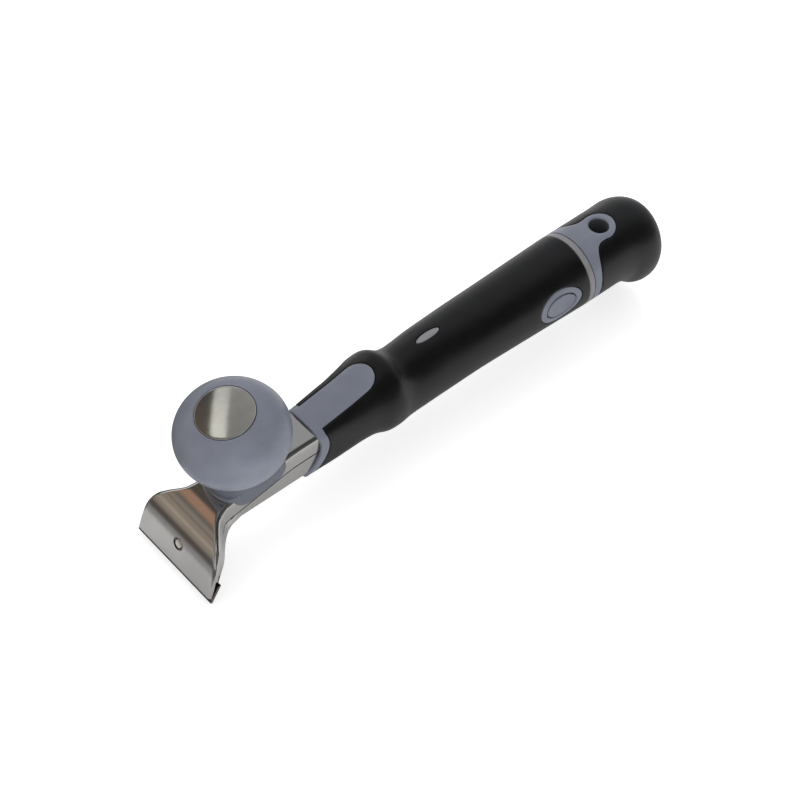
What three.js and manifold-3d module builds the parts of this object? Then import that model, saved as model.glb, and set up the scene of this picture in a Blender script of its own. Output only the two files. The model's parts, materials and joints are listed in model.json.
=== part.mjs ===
// Paint scraper: two formed steel shells clamp a reversible blade under a ball knob.
// The head sits in a two-shot handle, whose end cap comes off at the press of a side button.
// Millimetres. The handle axis lies along X, with the blade at +X and the knob at +Z.
// While the pieces are made, x = 0 is the front edge of the handle's rear rim.
import * as THREE from 'three';
import { mergeVertices } from 'three/addons/utils/BufferGeometryUtils.js';
import Module from 'manifold-3d';

const wasm = await Module();
wasm.setup();

const degrees = THREE.MathUtils.degToRad;

// Fits
const GAP = 0.3; // between pieces that touch, or are moulded on each other
const PLAY = 0.35; // round pieces that turn or slide
const PIN_FIT = 0.2; // round a fixed pin

// Head shells
const SHEET = 1.2;
const NECK_WIDTH = 19.6;
const NECK_HEIGHT = 22.8;
const NECK_TOP = 9.1; // above the handle axis
const NECK_LENGTH = 8; // level stretch in front of the collar
const NECK_CORNER = 2.6; // outer bend radius of the neck's long corners
const JAW_CORNER = 3.6; // the same on the lower shell
const LIP_CORNER = 1.7; // the same at the lip, where the corner runs out
const TANG_LENGTH = 38; // upper shell, inside the handle
const JAW_TANG_LENGTH = 14; // lower shell, inside the handle
const JAW_HEEL = 2.4; // the jaw's ears slope up from this far inside the collar's lowest edge
const JAW_HEEL_RISE = degrees(22);
const SEAT_TILT = degrees(12.6); // of the knob's seat, down towards the blade
const SEAT_BEND = 60;
const SEAT_LENGTH = 29;
const LIP_TILT = degrees(74); // below the handle axis
const LIP_LENGTH = 15.5;
const HEAD_BEND = 23;
// Distance past the start of the head's bend, and how much of the flare is reached there
const FLARE = [[0, 0], [6, 0.13], [13, 0.51], [18, 0.75], [26, 0.94], [34, 1]];
const JAW_FLARE = [[-5, 0], [6, 0.19], [12, 0.36], [18, 0.61], [24, 0.85], [34, 1]];
// The same distance, and the depth of the upper shell's sides
const FLANGE = [[0, 9.6], [8, 6], [13, 3.8], [25, 2.6], [40, 1.9]];
const NECK_FLANGE = 9.9;
const PARTING = 0.4; // slit between the shells' sides
const JAW_INSET = 2; // the jaw is narrower than the lip on each side

// Blade and its stop pin
const BLADE_WIDTH = 50;
const BLADE_HEIGHT = 10.4;
const BLADE_THICKNESS = 1.6;
const BLADE_BEVEL = 1.2;
const BLADE_TILT = degrees(62); // below the handle axis
const BLADE_REACH = 3; // cutting edge past the lip
const SLOT_MARGIN = 3; // the side slots run this far past the blade
const STOP_SPARE = 2; // room to push the blade back against the pin
const STOP_RADIUS = 2.3;
const STOP_HOLE = 3.1;
const STOP_SHOULDER = 3.8;
const STOP_SHOULDER_HEIGHT = 1;

// Knob
const KNOB_HEIGHT = 45.1; // seat to cap, along the knob's axis
const KNOB_AT = 11.4; // knob axis, along the seat
const BALL_RADIUS = 24.9;
const BALL_SEMI_HEIGHT = 19.1;
const BALL_BASE = 14.1; // flat underside, below the ball's middle
const CAP_RADIUS = 12.7;
const CAP_THICKNESS = 1.6;
const CAP_CROWN = 0.7;
const FOOT_RADIUS = 18.2;
const FOOT_RIM = 4; // height of the foot's upright wall
const FOOT_NECK = 14.5; // radius at the foot's top
const FOOT_WALL = 1.3; // over the neck's sides
const FOOT_SKIRT = 7; // how far the foot's sides reach down
const FOOT_CORNER = 6;
const WASHER_RADIUS = 9;
const WASHER_THICKNESS = 1;
const STUD_RADIUS = 3;
const STUD_HEAD_RADIUS = 6;
const STUD_HEAD_HEIGHT = 5;
const STUD_TIP_GAP = 1; // stud's tip above the lower shell
const NUT_LENGTH = 15;
const NUT_HEIGHT = 8;
const NUT_PLAY = 0.5; // lets the nut tilt on the stud as the jaw swings

// Pins across the handle
const PIN_RADIUS = 1.5;
const PIN_SEAT = 1.2; // how far a pin reaches into the core's walls
const PIVOT_SETBACK = 9.4; // jaw pivot behind the collar
const PIVOT_DROP = 4.6; // below the handle axis
const TANG_PIN_SETBACK = 29;
const TANG_PIN_RISE = 3; // above the handle axis

// Handle
const HANDLE_REACH = 157.4; // rear rim to collar
const RIM_WIDTH = 3.2;
const RIM_RADIUS = 18.4;
// Distance behind the collar, half width, top, bottom (below the axis) and squareness
const BARREL = [
  [97.4, 16.8, 16.5, 16.9, 2],
  [71.4, 15.8, 16.6, 19.2, 2],
  [55.4, 15.2, 15.1, 20.5, 2],
  [49.4, 15.9, 16.4, 20.4, 2],
  [43.4, 17.9, 20.3, 18.9, 2.05],
  [37.4, 17.7, 19.3, 17.9, 2.15],
  [31.4, 15.7, 18.4, 15.2, 2.3],
  [19.4, 13.7, 14.8, 14.8, 2.8],
];
const COLLAR_WALL = 1;
const COLLAR_SQUARENESS = 5;
const COLLAR_BAND = 4;
const COLLAR_BACK = 4.5; // the collar's edge bows back on the sides
const COLLAR_SWEEP = 6; // and runs forward underneath
const JAW_ROOM = 0.5; // under the lower shell, for its swing
const GRIP_WALL = 2.5;
const GRIP_EDGE = 1; // the grip thins to this at the collar
const TONGUE_WIDTH = 15.5;
const TONGUE_LENGTH = 37.4;
const MARK_AT = 86.5;
const MARK_LENGTH = 13.2;
const MARK_WIDTH = 3.7;

// Button and latch
const BUTTON_AT = 18.2;
const BUTTON_TURN = degrees(12); // from +Y towards +Z
const BUTTON_LENGTH = 17.8;
const BUTTON_WIDTH = 10;
const BUTTON_TRAVEL = 2;
const BUTTON_PROUD = 0.35;
const BUTTON_SKIRT = 1.4; // hidden flange under the bezel: reach and thickness
const BEZEL_LENGTH = 25.2;
const BEZEL_WIDTH = 15.4;
const BEZEL_THICKNESS = 2.4;
const LATCH_THICKNESS = 1.6;
const LATCH_RIM = 2.2;
const SPRING_RADIUS = 2; // to the outside of the wire
const SPRING_WIRE = 0.5;
const SPRING_LENGTH = 6.6;
const SPRING_TURNS = 5;

// End cap
// Distance behind the parting line, half width, top and bottom (below the axis)
const POMMEL = [
  [12.5, 18.4, 18.5, 18.4],
  [21, 18.5, 18.5, 18.6],
  [28, 19.2, 18.2, 21.6],
  [32.5, 20.3, 17.9, 25.4],
  [37, 20.8, 17.4, 26.8],
  [41.5, 20.2, 16.3, 26.2],
  [45.5, 17.9, 14.5, 23.2],
  [48, 14.4, 12.2, 18.7],
  [49, 11.8, 10, 15.6],
];
const CAP_WALL = 2.6;
const CAP_RING = 4.2;
const SPIGOT_RADIUS = 12.5;
const SPIGOT_LENGTH = 9;
const LATCH_STUD_RADIUS = 4.2;
const LATCH_HEAD = 3;
const HANG_HOLE = 4.8;
const HANG_AT = 17.1; // hang hole, behind the parting line
const EYELET_RADIUS = 8;
const WEB_HALF = 7.7;

// Facets
const ROUND = 28;
const KNOB_ROUND = 40;
const SMALL_ROUND = 16;
const OVAL_DETAIL = 10;
const CORNER_DETAIL = 3;
const LONGEST_STEP = 14; // between the sections of a skin
const FAR = 60; // past everything, for cutters

// Places that follow from the sizes
const neckHalf = NECK_WIDTH / 2;
const neckBottom = NECK_TOP - NECK_HEIGHT;
const neckMiddle = NECK_TOP - NECK_HEIGHT / 2;
const partingX = -RIM_WIDTH - GAP; // front face of the end cap
const hangX = partingX - HANG_AT;
const tongueEndX = HANDLE_REACH - TONGUE_LENGTH;
const pivotX = HANDLE_REACH - PIVOT_SETBACK;
const tangPinX = HANDLE_REACH - TANG_PIN_SETBACK;
const wedge = LIP_TILT - BLADE_TILT;

const colours = {
  steel: [0xc2bfba, 0.22, 1],
  hardMetal: [0x4a4540, 0.45, 0.9],
  plainSteel: [0x8d8f92, 0.35, 1],
  grey: [0x7d828e, 0.5, 0],
  black: [0x1b1b1d, 0.62, 0],
};

function finish(name) {
  const [color, roughness, metalness] = colours[name];
  return new THREE.MeshStandardMaterial({ color, roughness, metalness });
}

// Solids

// Positions in a row, and the triangles over them, turned to face outwards
function closed(positions, triangles) {
  const at = (i) => new THREE.Vector3().fromArray(positions, 3 * triangles[i]);
  let volume = 0;
  for (let i = 0; i < triangles.length; i += 3) volume += at(i).dot(at(i + 1).cross(at(i + 2)));
  const triVerts = new Uint32Array(volume < 0 ? triangles.reverse() : triangles);
  const vertProperties = new Float32Array(positions);
  return new wasm.Manifold(new wasm.Mesh({ numProp: 3, vertProperties, triVerts }));
}

function solid(geometry, matrix) {
  const bare = geometry.index ? geometry.toNonIndexed() : geometry.clone();
  bare.deleteAttribute('normal');
  bare.deleteAttribute('uv');
  bare.applyMatrix4(matrix);
  const merged = mergeVertices(bare, 1e-4);
  const index = merged.index.array;
  const kept = [];
  for (let i = 0; i < index.length; i += 3) {
    const [a, b, c] = [index[i], index[i + 1], index[i + 2]];
    if (a !== b && b !== c && c !== a) kept.push(a, b, c);
  }
  return closed(merged.attributes.position.array, kept);
}

// The ring's outline in its own plane, counter-clockwise
function flattened(ring) {
  const normal = new THREE.Vector3();
  ring.forEach((p, i) => normal.add(p.clone().cross(ring[(i + 1) % ring.length])));
  const level = new THREE.Quaternion().setFromUnitVectors(normal.normalize(), new THREE.Vector3(0, 0, 1));
  const levelled = ring.map((p) => p.clone().applyQuaternion(level));
  return levelled.map((p) => new THREE.Vector2(p.x, p.y));
}

// A closed solid through planar rings of equal count
function loft(rings) {
  const count = rings[0].length;
  const triangles = [];
  for (let r = 0; r + 1 < rings.length; r += 1) {
    for (let i = 0; i < count; i += 1) {
      const a = r * count + i;
      const b = r * count + ((i + 1) % count);
      triangles.push(a, b, b + count, a, b + count, a + count);
    }
  }
  for (const r of [0, rings.length - 1]) {
    const outline = flattened(rings[r]);
    for (const corners of THREE.ShapeUtils.triangulateShape(outline, [])) {
      const withRing = THREE.ShapeUtils.area(corners.map((i) => outline[i])) > 0;
      const face = corners.map((i) => r * count + i);
      triangles.push(...(withRing === (r > 0) ? face : face.reverse()));
    }
  }
  return closed(rings.flat().flatMap((p) => p.toArray()), triangles);
}

const alongY = new THREE.Matrix4().makeRotationX(Math.PI / 2);
const alongX = new THREE.Matrix4().makeBasis(
  new THREE.Vector3(0, 1, 0),
  new THREE.Vector3(0, 0, 1),
  new THREE.Vector3(1, 0, 0),
);

function extruded(shape, depth, matrix, curveSegments) {
  const geometry = new THREE.ExtrudeGeometry(shape, { depth, bevelEnabled: false, curveSegments });
  return solid(geometry, matrix);
}

// Shape in x and z, running from y = from to y = to
function prismY(shape, from, to, turn = new THREE.Matrix4()) {
  const place = new THREE.Matrix4().makeTranslation(0, to, 0).multiply(alongY);
  return extruded(shape, to - from, turn.clone().multiply(place), OVAL_DETAIL);
}

// Shape in y and z, running from x = from to x = to
function prismX(shape, from, to, detail = CORNER_DETAIL) {
  const place = new THREE.Matrix4().makeTranslation(from, 0, 0).multiply(alongX);
  return extruded(shape, to - from, place, detail);
}

// Shape in x and y, running from z = from to z = to
function prismZ(shape, from, to) {
  return extruded(shape, to - from, new THREE.Matrix4().makeTranslation(0, 0, from), OVAL_DETAIL);
}

// Outline of [radius, height] pairs, turned about Z and then moved by the matrix
function turned(outline, segments = ROUND, matrix = new THREE.Matrix4()) {
  const points = outline.map(([radius, height]) => new THREE.Vector2(radius, height));
  const upright = new THREE.Matrix4().makeRotationX(Math.PI / 2);
  return solid(new THREE.LatheGeometry(points, segments), matrix.clone().multiply(upright));
}

function rod(radius, from, to, segments = SMALL_ROUND, matrix = new THREE.Matrix4()) {
  return turned([[0, from], [radius, from], [radius, to], [0, to]], segments, matrix);
}

// Turns Z into X, and into Y
const zToX = new THREE.Matrix4().makeRotationY(Math.PI / 2);
const zToY = new THREE.Matrix4().makeRotationX(-Math.PI / 2);

function moved(x, y, z, matrix = new THREE.Matrix4()) {
  return new THREE.Matrix4().makeTranslation(x, y, z).multiply(matrix);
}

function ellipse(x, y, halfLength, halfWidth) {
  return new THREE.Shape().absellipse(x, y, halfLength, halfWidth, 0, 2 * Math.PI);
}

function roundedRectangle(left, bottom, right, top, radius) {
  const shape = new THREE.Shape();
  shape.absarc(right - radius, bottom + radius, radius, -Math.PI / 2, 0);
  shape.absarc(right - radius, top - radius, radius, 0, Math.PI / 2);
  shape.absarc(left + radius, top - radius, radius, Math.PI / 2, Math.PI);
  shape.absarc(left + radius, bottom + radius, radius, Math.PI, 1.5 * Math.PI);
  return shape;
}

function rectangle(left, bottom, right, top) {
  return new THREE.Shape([
    new THREE.Vector2(left, bottom),
    new THREE.Vector2(right, bottom),
    new THREE.Vector2(right, top),
    new THREE.Vector2(left, top),
  ]);
}

function polygon(points) {
  return new THREE.Shape(points.map(([x, y]) => new THREE.Vector2(x, y)));
}

function hermite(t, a, slopeA, b, slopeB) {
  const u = 1 - t;
  return u * u * ((1 + 2 * t) * a + t * slopeA) + t * t * ((3 - 2 * t) * b - u * slopeB);
}

// A smooth value over x through [x, value] knots, level at its peaks and hollows
function smoothThrough(knots) {
  const last = knots.length - 1;
  const slopes = knots.map(([, value], i) => {
    const [xa, a] = knots[Math.max(i - 1, 0)];
    const [xb, b] = knots[Math.min(i + 1, last)];
    return (value - a) * (b - value) < 0 ? 0 : (b - a) / (xb - xa);
  });
  return (x) => {
    const passed = knots.filter(([at]) => at <= x).length;
    const k = THREE.MathUtils.clamp(passed, 1, last);
    const [[xa, a], [xb, b]] = [knots[k - 1], knots[k]];
    const t = THREE.MathUtils.clamp((x - xa) / (xb - xa), 0, 1);
    return hermite(t, a, slopes[k - 1] * (xb - xa), b, slopes[k] * (xb - xa));
  };
}

// Every column of the rows as a smooth value over the first
function smoothRows(rows) {
  const columns = rows[0].slice(1).map((_, k) => smoothThrough(rows.map((row) => [row[0], row[k + 1]])));
  return (x) => columns.map((value) => value(x));
}

// Head: the line of the neck's top, from the tang to the lip's edge

function headLine(tangLength) {
  const stations = [];
  const at = { x: HANDLE_REACH - tangLength, z: NECK_TOP, slope: 0, s: 0 };
  const mark = () => stations.push({ ...at });
  const straight = (length, steps) => {
    for (let i = 0; i < steps; i += 1) {
      at.x += (length / steps) * Math.cos(at.slope);
      at.z -= (length / steps) * Math.sin(at.slope);
      at.s += length / steps;
      mark();
    }
  };
  const bend = (radius, angle, steps) => {
    for (let i = 0; i < steps; i += 1) {
      const next = at.slope + angle / steps;
      at.x += radius * (Math.sin(next) - Math.sin(at.slope));
      at.z -= radius * (Math.cos(at.slope) - Math.cos(next));
      at.s += (radius * angle) / steps;
      at.slope = next;
      mark();
    }
  };
  mark();
  straight(tangLength + NECK_LENGTH, 3);
  bend(SEAT_BEND, SEAT_TILT, 4);
  const seat = { ...at };
  straight(SEAT_LENGTH, 2);
  const headBend = { ...at };
  bend(HEAD_BEND, LIP_TILT - SEAT_TILT, 12);
  const lip = { ...at };
  straight(LIP_LENGTH, 6);
  return { stations, seat, headBend, lip, edge: { ...at } };
}

const line = headLine(TANG_LENGTH);

// Depth of the whole head under the line, to the outside of the lower shell
const lipEdgeDepth = SHEET + (2 * GAP + BLADE_THICKNESS + SHEET) / Math.cos(wedge);
const depthAtLip = lipEdgeDepth + LIP_LENGTH * Math.tan(wedge);

function headDepth(p, marks) {
  if (p.s <= marks.headBend.s) return (p.z - neckBottom) / Math.cos(p.slope);
  if (p.s >= marks.lip.s) return lipEdgeDepth + (marks.edge.s - p.s) * Math.tan(wedge);
  const length = marks.lip.s - marks.headBend.s;
  const start = (marks.headBend.z - neckBottom) / Math.cos(marks.headBend.slope);
  const t = (p.s - marks.headBend.s) / length;
  return hermite(t, start, -Math.tan(SEAT_TILT) * length, depthAtLip, -Math.tan(wedge) * length);
}

const flangeThrough = smoothThrough(FLANGE);
const flareThrough = smoothThrough(FLARE);
const jawFlareThrough = smoothThrough(JAW_FLARE);

function flangeDepth(p, marks) {
  const seat = THREE.MathUtils.clamp((p.s - marks.seat.s) / SEAT_LENGTH, 0, 1);
  const past = p.s - marks.headBend.s;
  return past > 0 ? flangeThrough(past) : THREE.MathUtils.lerp(NECK_FLANGE, FLANGE[0][1], seat);
}

function flare(p, marks) {
  return flareThrough(p.s - marks.headBend.s);
}

// Outline of a bent sheet: a web at one depth, and two legs that reach to another and may splay
function channel(half, web, leg, corner, splay = 0) {
  const way = Math.sign(leg - web);
  const steps = 3;
  const arc = (radius) => {
    const quarter = [];
    for (let i = 0; i <= steps; i += 1) {
      const angle = (i / steps) * (Math.PI / 2);
      const y = half - corner + radius * Math.cos(angle);
      quarter.push([y, web + way * (corner - radius * Math.sin(angle))]);
    }
    return quarter;
  };
  const mirrored = (points) => points.map(([y, v]) => [-y, v]).reverse();
  const outer = [[half + splay, leg], ...arc(corner)];
  const inner = [[half + splay - SHEET, leg], ...arc(corner - SHEET)];
  return [...outer, ...mirrored(outer), ...mirrored(inner).reverse(), ...[...inner].reverse()];
}

// A point of the section plane at a station: y across, v down from the line
function onStation(p, y, v) {
  return new THREE.Vector3(p.x - v * Math.sin(p.slope), y, p.z - v * Math.cos(p.slope));
}

function bentShell(marks, section) {
  return loft(marks.stations.map((p) => section(p).map(([y, v]) => onStation(p, y, v))));
}

function cornerRadius(p, marks, start) {
  return THREE.MathUtils.lerp(start, LIP_CORNER, flare(p, marks));
}

function upperHalf(p, marks) {
  return THREE.MathUtils.lerp(neckHalf, BLADE_WIDTH / 2, flare(p, marks));
}

function upperSheet() {
  return bentShell(line, (p) => {
    return channel(upperHalf(p, line), 0, flangeDepth(p, line), cornerRadius(p, line, NECK_CORNER));
  });
}

function lowerSheet() {
  const marks = headLine(JAW_TANG_LENGTH);
  return bentShell(marks, (p) => {
    const share = jawFlareThrough(p.s - marks.headBend.s);
    const half = THREE.MathUtils.lerp(neckHalf, BLADE_WIDTH / 2 - JAW_INSET, share);
    const leg = flangeDepth(p, marks) + PARTING;
    const splay = (upperHalf(p, marks) - half) * (1 - flare(p, marks));
    return channel(half, headDepth(p, marks), leg, cornerRadius(p, marks, JAW_CORNER), splay);
  });
}

// Blade: its section in x and z hangs from the inside of the lip's edge

const lipInner = onStation(line.edge, 0, SHEET);
const bladeOut = new THREE.Vector3(Math.sin(BLADE_TILT), 0, Math.cos(BLADE_TILT)); // towards the lip
const bladeUp = new THREE.Vector3(-Math.cos(BLADE_TILT), 0, Math.sin(BLADE_TILT));

function bladePoint(up, out) {
  const face = lipInner.clone().addScaledVector(bladeOut, -GAP - BLADE_THICKNESS);
  const p = face.addScaledVector(bladeUp, up - BLADE_REACH).addScaledVector(bladeOut, out);
  return [p.x, p.z];
}

function blade() {
  const section = polygon([
    bladePoint(0, 0),
    bladePoint(BLADE_BEVEL, BLADE_THICKNESS),
    bladePoint(BLADE_HEIGHT - BLADE_BEVEL, BLADE_THICKNESS),
    bladePoint(BLADE_HEIGHT, 0),
  ]);
  return prismY(section, -BLADE_WIDTH / 2, BLADE_WIDTH / 2);
}

// How far up the lip a point of the x, z plane lies, from the lip's edge
function upTheLip([x, z]) {
  return (line.edge.x - x) * Math.cos(LIP_TILT) + (z - line.edge.z) * Math.sin(LIP_TILT);
}

const slotTop = upTheLip(bladePoint(BLADE_HEIGHT, 0)) + SLOT_MARGIN;
const stopUp = upTheLip(bladePoint(BLADE_HEIGHT, 0)) + STOP_SPARE + STOP_RADIUS;

// A point between lip and jaw: distance up the lip from its edge, and depth under its face
function inHead(up, depth) {
  const p = onStation(line.edge, 0, depth);
  return [p.x - up * Math.cos(LIP_TILT), p.z + up * Math.sin(LIP_TILT)];
}

// The slot in both shells' sides that the blade slides out of
function bladeSlot() {
  const shave = 0.02;
  const jaw = (up) => lipEdgeDepth + up * Math.tan(wedge) - SHEET / Math.cos(wedge) + shave;
  const below = -SLOT_MARGIN;
  const section = polygon([
    inHead(below, SHEET - shave),
    inHead(below, jaw(below)),
    inHead(slotTop, jaw(slotTop)),
    inHead(slotTop, SHEET - shave),
  ]);
  return prismY(section, -FAR, FAR);
}

// Places the stop pin's own axis, with its visible end at 0
const [stopX, stopZ] = inHead(stopUp, 0);
const stopPlace = moved(stopX, 0, stopZ, new THREE.Matrix4().makeRotationY(LIP_TILT));

function stopPin() {
  const jawFace = lipEdgeDepth + stopUp * Math.tan(wedge) - SHEET / Math.cos(wedge);
  const tip = -(jawFace - GAP - STOP_RADIUS * Math.tan(wedge));
  const shoulderTop = -SHEET - GAP;
  const shoulderBottom = shoulderTop - STOP_SHOULDER_HEIGHT;
  return [
    [0, 0],
    [STOP_RADIUS, 0],
    [STOP_RADIUS, shoulderTop],
    [STOP_SHOULDER, shoulderTop],
    [STOP_SHOULDER, shoulderBottom],
    [STOP_RADIUS, shoulderBottom],
    [STOP_RADIUS, tip],
    [0, tip],
  ];
}

// Knob: its own frame has the seat at the origin and Z along the stud

const seatPoint = new THREE.Vector3(
  line.seat.x + KNOB_AT * Math.cos(SEAT_TILT),
  0,
  line.seat.z - KNOB_AT * Math.sin(SEAT_TILT),
);
const knobPlace = moved(...seatPoint.toArray(), new THREE.Matrix4().makeRotationY(SEAT_TILT));

const capRise = BALL_SEMI_HEIGHT * Math.sqrt(1 - (CAP_RADIUS / BALL_RADIUS) ** 2);
const ballMiddle = KNOB_HEIGHT - capRise;
const ballBottom = ballMiddle - BALL_BASE;
const footTop = ballBottom - WASHER_THICKNESS - 2 * GAP;
const studShoulder = KNOB_HEIGHT - CAP_THICKNESS - 2 * GAP - STUD_HEAD_HEIGHT;
const jawFloor = (seatPoint.z - neckBottom - SHEET) / Math.cos(SEAT_TILT);

function ballOutline() {
  const lower = -Math.asin(BALL_BASE / BALL_SEMI_HEIGHT);
  const upper = Math.asin(capRise / BALL_SEMI_HEIGHT);
  const steps = 14;
  const outside = [];
  for (let i = 0; i <= steps; i += 1) {
    const angle = lower + ((upper - lower) * i) / steps;
    outside.push([BALL_RADIUS * Math.cos(angle), ballMiddle + BALL_SEMI_HEIGHT * Math.sin(angle)]);
  }
  const recess = KNOB_HEIGHT - CAP_THICKNESS - GAP;
  const bore = STUD_RADIUS + PIN_FIT;
  const counterbore = STUD_HEAD_RADIUS + PIN_FIT;
  return [
    [bore, ballBottom],
    ...outside.slice(0, -1),
    [CAP_RADIUS + PIN_FIT, KNOB_HEIGHT],
    [CAP_RADIUS + PIN_FIT, recess],
    [counterbore, recess],
    [counterbore, studShoulder - GAP],
    [bore, studShoulder - GAP],
    [bore, ballBottom],
  ];
}

function capOutline() {
  const bottom = KNOB_HEIGHT - CAP_THICKNESS;
  const steps = 3;
  const crown = [];
  for (let i = 0; i <= steps; i += 1) {
    const share = 1 - i / steps;
    crown.push([CAP_RADIUS * share, KNOB_HEIGHT + CAP_CROWN * (1 - share * share)]);
  }
  return [[0, bottom], [CAP_RADIUS, bottom], ...crown];
}

function studOutline() {
  const tip = STUD_TIP_GAP - jawFloor;
  const chamfer = STUD_RADIUS / 4;
  return [
    [0, tip],
    [STUD_RADIUS - chamfer, tip],
    [STUD_RADIUS, tip + chamfer],
    [STUD_RADIUS, studShoulder],
    [STUD_HEAD_RADIUS, studShoulder],
    [STUD_HEAD_RADIUS, studShoulder + STUD_HEAD_HEIGHT],
    [0, studShoulder + STUD_HEAD_HEIGHT],
  ];
}

// A round foot with flat sides that straddle the neck
function knobFoot() {
  const steps = 6;
  const sweep = [];
  for (let i = 0; i <= steps; i += 1) {
    const angle = (i / steps) * (Math.PI / 2);
    const radius = FOOT_RADIUS - (FOOT_RADIUS - FOOT_NECK) * Math.sin(angle);
    sweep.push([radius, FOOT_RIM + (footTop - FOOT_RIM) * (1 - Math.cos(angle))]);
  }
  const half = neckHalf + GAP + FOOT_WALL;
  const body = turned([[0, -FOOT_SKIRT], [FOOT_RADIUS, -FOOT_SKIRT], ...sweep, [0, footTop]], ROUND);
  const reach = Math.sqrt(FOOT_RADIUS ** 2 - half ** 2);
  const side = roundedRectangle(-reach, -FOOT_SKIRT, reach, FAR, FOOT_CORNER);
  const wide = rectangle(-FAR, GAP, FAR, FAR);
  const neck = rectangle(-FAR, -FAR, FAR, GAP);
  const inner = neckHalf + GAP;
  return body
    .intersect(prismY(side, -half, half).add(prismY(wide, -half, half)))
    .subtract(prismY(neck, -inner, inner))
    .subtract(rod(STUD_RADIUS + PLAY, -FAR, FAR));
}

function washerOutline() {
  const bore = STUD_RADIUS + PIN_FIT;
  const bottom = footTop + GAP;
  const top = bottom + WASHER_THICKNESS;
  return [[bore, bottom], [WASHER_RADIUS, bottom], [WASHER_RADIUS, top], [bore, top], [bore, bottom]];
}

// The nut fits between the lower shell's sides, and its bore follows the tilted stud
function clampNut() {
  const bottom = neckBottom + SHEET + GAP;
  const half = neckHalf - JAW_CORNER;
  const middle = seatPoint.x - (seatPoint.z - bottom - NUT_HEIGHT / 2) * Math.tan(SEAT_TILT);
  const block = rectangle(middle - NUT_LENGTH / 2, bottom, middle + NUT_LENGTH / 2, bottom + NUT_HEIGHT);
  return prismY(block, -half, half).subtract(studBore(NUT_PLAY));
}

function studBore(play) {
  return rod(STUD_RADIUS + play, -FAR, FAR, SMALL_ROUND, knobPlace);
}

// Handle: a loft of superellipses along X

const collarHalf = neckHalf + PLAY + COLLAR_WALL;
const collarTop = NECK_TOP + PLAY + COLLAR_WALL;
const collarBottom = -(neckBottom - JAW_ROOM - COLLAR_WALL);
const handleFrontX = HANDLE_REACH + COLLAR_SWEEP + COLLAR_BAND;
const barrelRows = [
  [-RIM_WIDTH, RIM_RADIUS, RIM_RADIUS, RIM_RADIUS, 2],
  [0, RIM_RADIUS, RIM_RADIUS, RIM_RADIUS, 2],
  ...BARREL.map(([back, ...sizes]) => [HANDLE_REACH - back, ...sizes]),
  [HANDLE_REACH, collarHalf, collarTop, collarBottom, COLLAR_SQUARENESS],
  [handleFrontX, collarHalf, collarTop, collarBottom, COLLAR_SQUARENESS],
];
const barrelAt = smoothRows(barrelRows);
const pommelRows = [
  [partingX, RIM_RADIUS, RIM_RADIUS, RIM_RADIUS, 2],
  ...POMMEL.map(([back, ...sizes]) => [partingX - back, ...sizes, 2]),
].reverse();
const pommelAt = smoothRows(pommelRows);
const capEndX = pommelRows[0][0];

// The grip thins out from the tongue's end to the collar
function gripWall(x) {
  const t = THREE.MathUtils.smoothstep(x, tongueEndX, pivotX);
  return THREE.MathUtils.lerp(GRIP_WALL, GRIP_EDGE, t);
}

// A skin through rows of sections, sampled between them, and drawn in by inset(x)
function skin(rows, at, inset, turn = new THREE.Matrix4()) {
  const steps = rows.slice(1).flatMap(([to], i) => {
    const from = rows[i][0];
    const count = Math.ceil((to - from) / LONGEST_STEP);
    return Array.from({ length: count }, (_, k) => from + ((to - from) * k) / count);
  });
  const rings = [...steps, rows.at(-1)[0]].map((x) => {
    const [half, top, bottom, squareness] = at(x);
    const middle = (top - bottom) / 2;
    const [a, b] = [half - inset(x), (top + bottom) / 2 - inset(x)];
    const round = (value) => Math.sign(value) * Math.abs(value) ** (2 / squareness);
    return Array.from({ length: ROUND }, (_, i) => {
      const angle = (2 * Math.PI * (i + 0.5)) / ROUND;
      const point = new THREE.Vector3(x, a * round(Math.cos(angle)), middle + b * round(Math.sin(angle)));
      return point.applyMatrix4(turn);
    });
  });
  return loft(rings);
}

function barrel(inset, turn) {
  return skin(barrelRows, barrelAt, inset, turn);
}

function pommel(inset) {
  return skin(pommelRows, pommelAt, () => inset);
}

// Everything behind the collar's swept front edge, moved along X by shift
function behindCollar(shift) {
  const x = HANDLE_REACH + shift;
  const shape = new THREE.Shape();
  shape.moveTo(-FAR, FAR);
  shape.lineTo(-FAR, -FAR);
  shape.lineTo(x + COLLAR_SWEEP, -FAR);
  shape.lineTo(x + COLLAR_SWEEP, neckBottom);
  shape.quadraticCurveTo(x - COLLAR_BACK, neckMiddle, x, NECK_TOP);
  shape.lineTo(x, FAR);
  return prismY(shape, -FAR, FAR);
}

function slab(from, to) {
  return prismX(rectangle(-FAR, -FAR, FAR, FAR), from, to);
}

function tongue(margin) {
  const half = TONGUE_WIDTH / 2 + margin;
  const shape = new THREE.Shape();
  const roundX = tongueEndX + TONGUE_WIDTH / 2;
  shape.moveTo(handleFrontX + FAR, half);
  shape.lineTo(roundX, half);
  shape.absarc(roundX, 0, half, Math.PI / 2, 1.5 * Math.PI);
  shape.lineTo(handleFrontX + FAR, -half);
  return prismZ(shape, 0, FAR);
}

function ovalMark(margin) {
  return prismZ(ellipse(MARK_AT, 0, MARK_LENGTH / 2 + margin, MARK_WIDTH / 2 + margin), 0, FAR);
}

function tangSocket() {
  const section = roundedRectangle(
    -neckHalf - PLAY,
    neckBottom - JAW_ROOM,
    neckHalf + PLAY,
    NECK_TOP + PLAY,
    NECK_CORNER + PLAY,
  );
  const room = prismX(section, HANDLE_REACH - TANG_LENGTH - PLAY, handleFrontX + FAR);
  return room.subtract(underHeel(JAW_ROOM));
}

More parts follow.
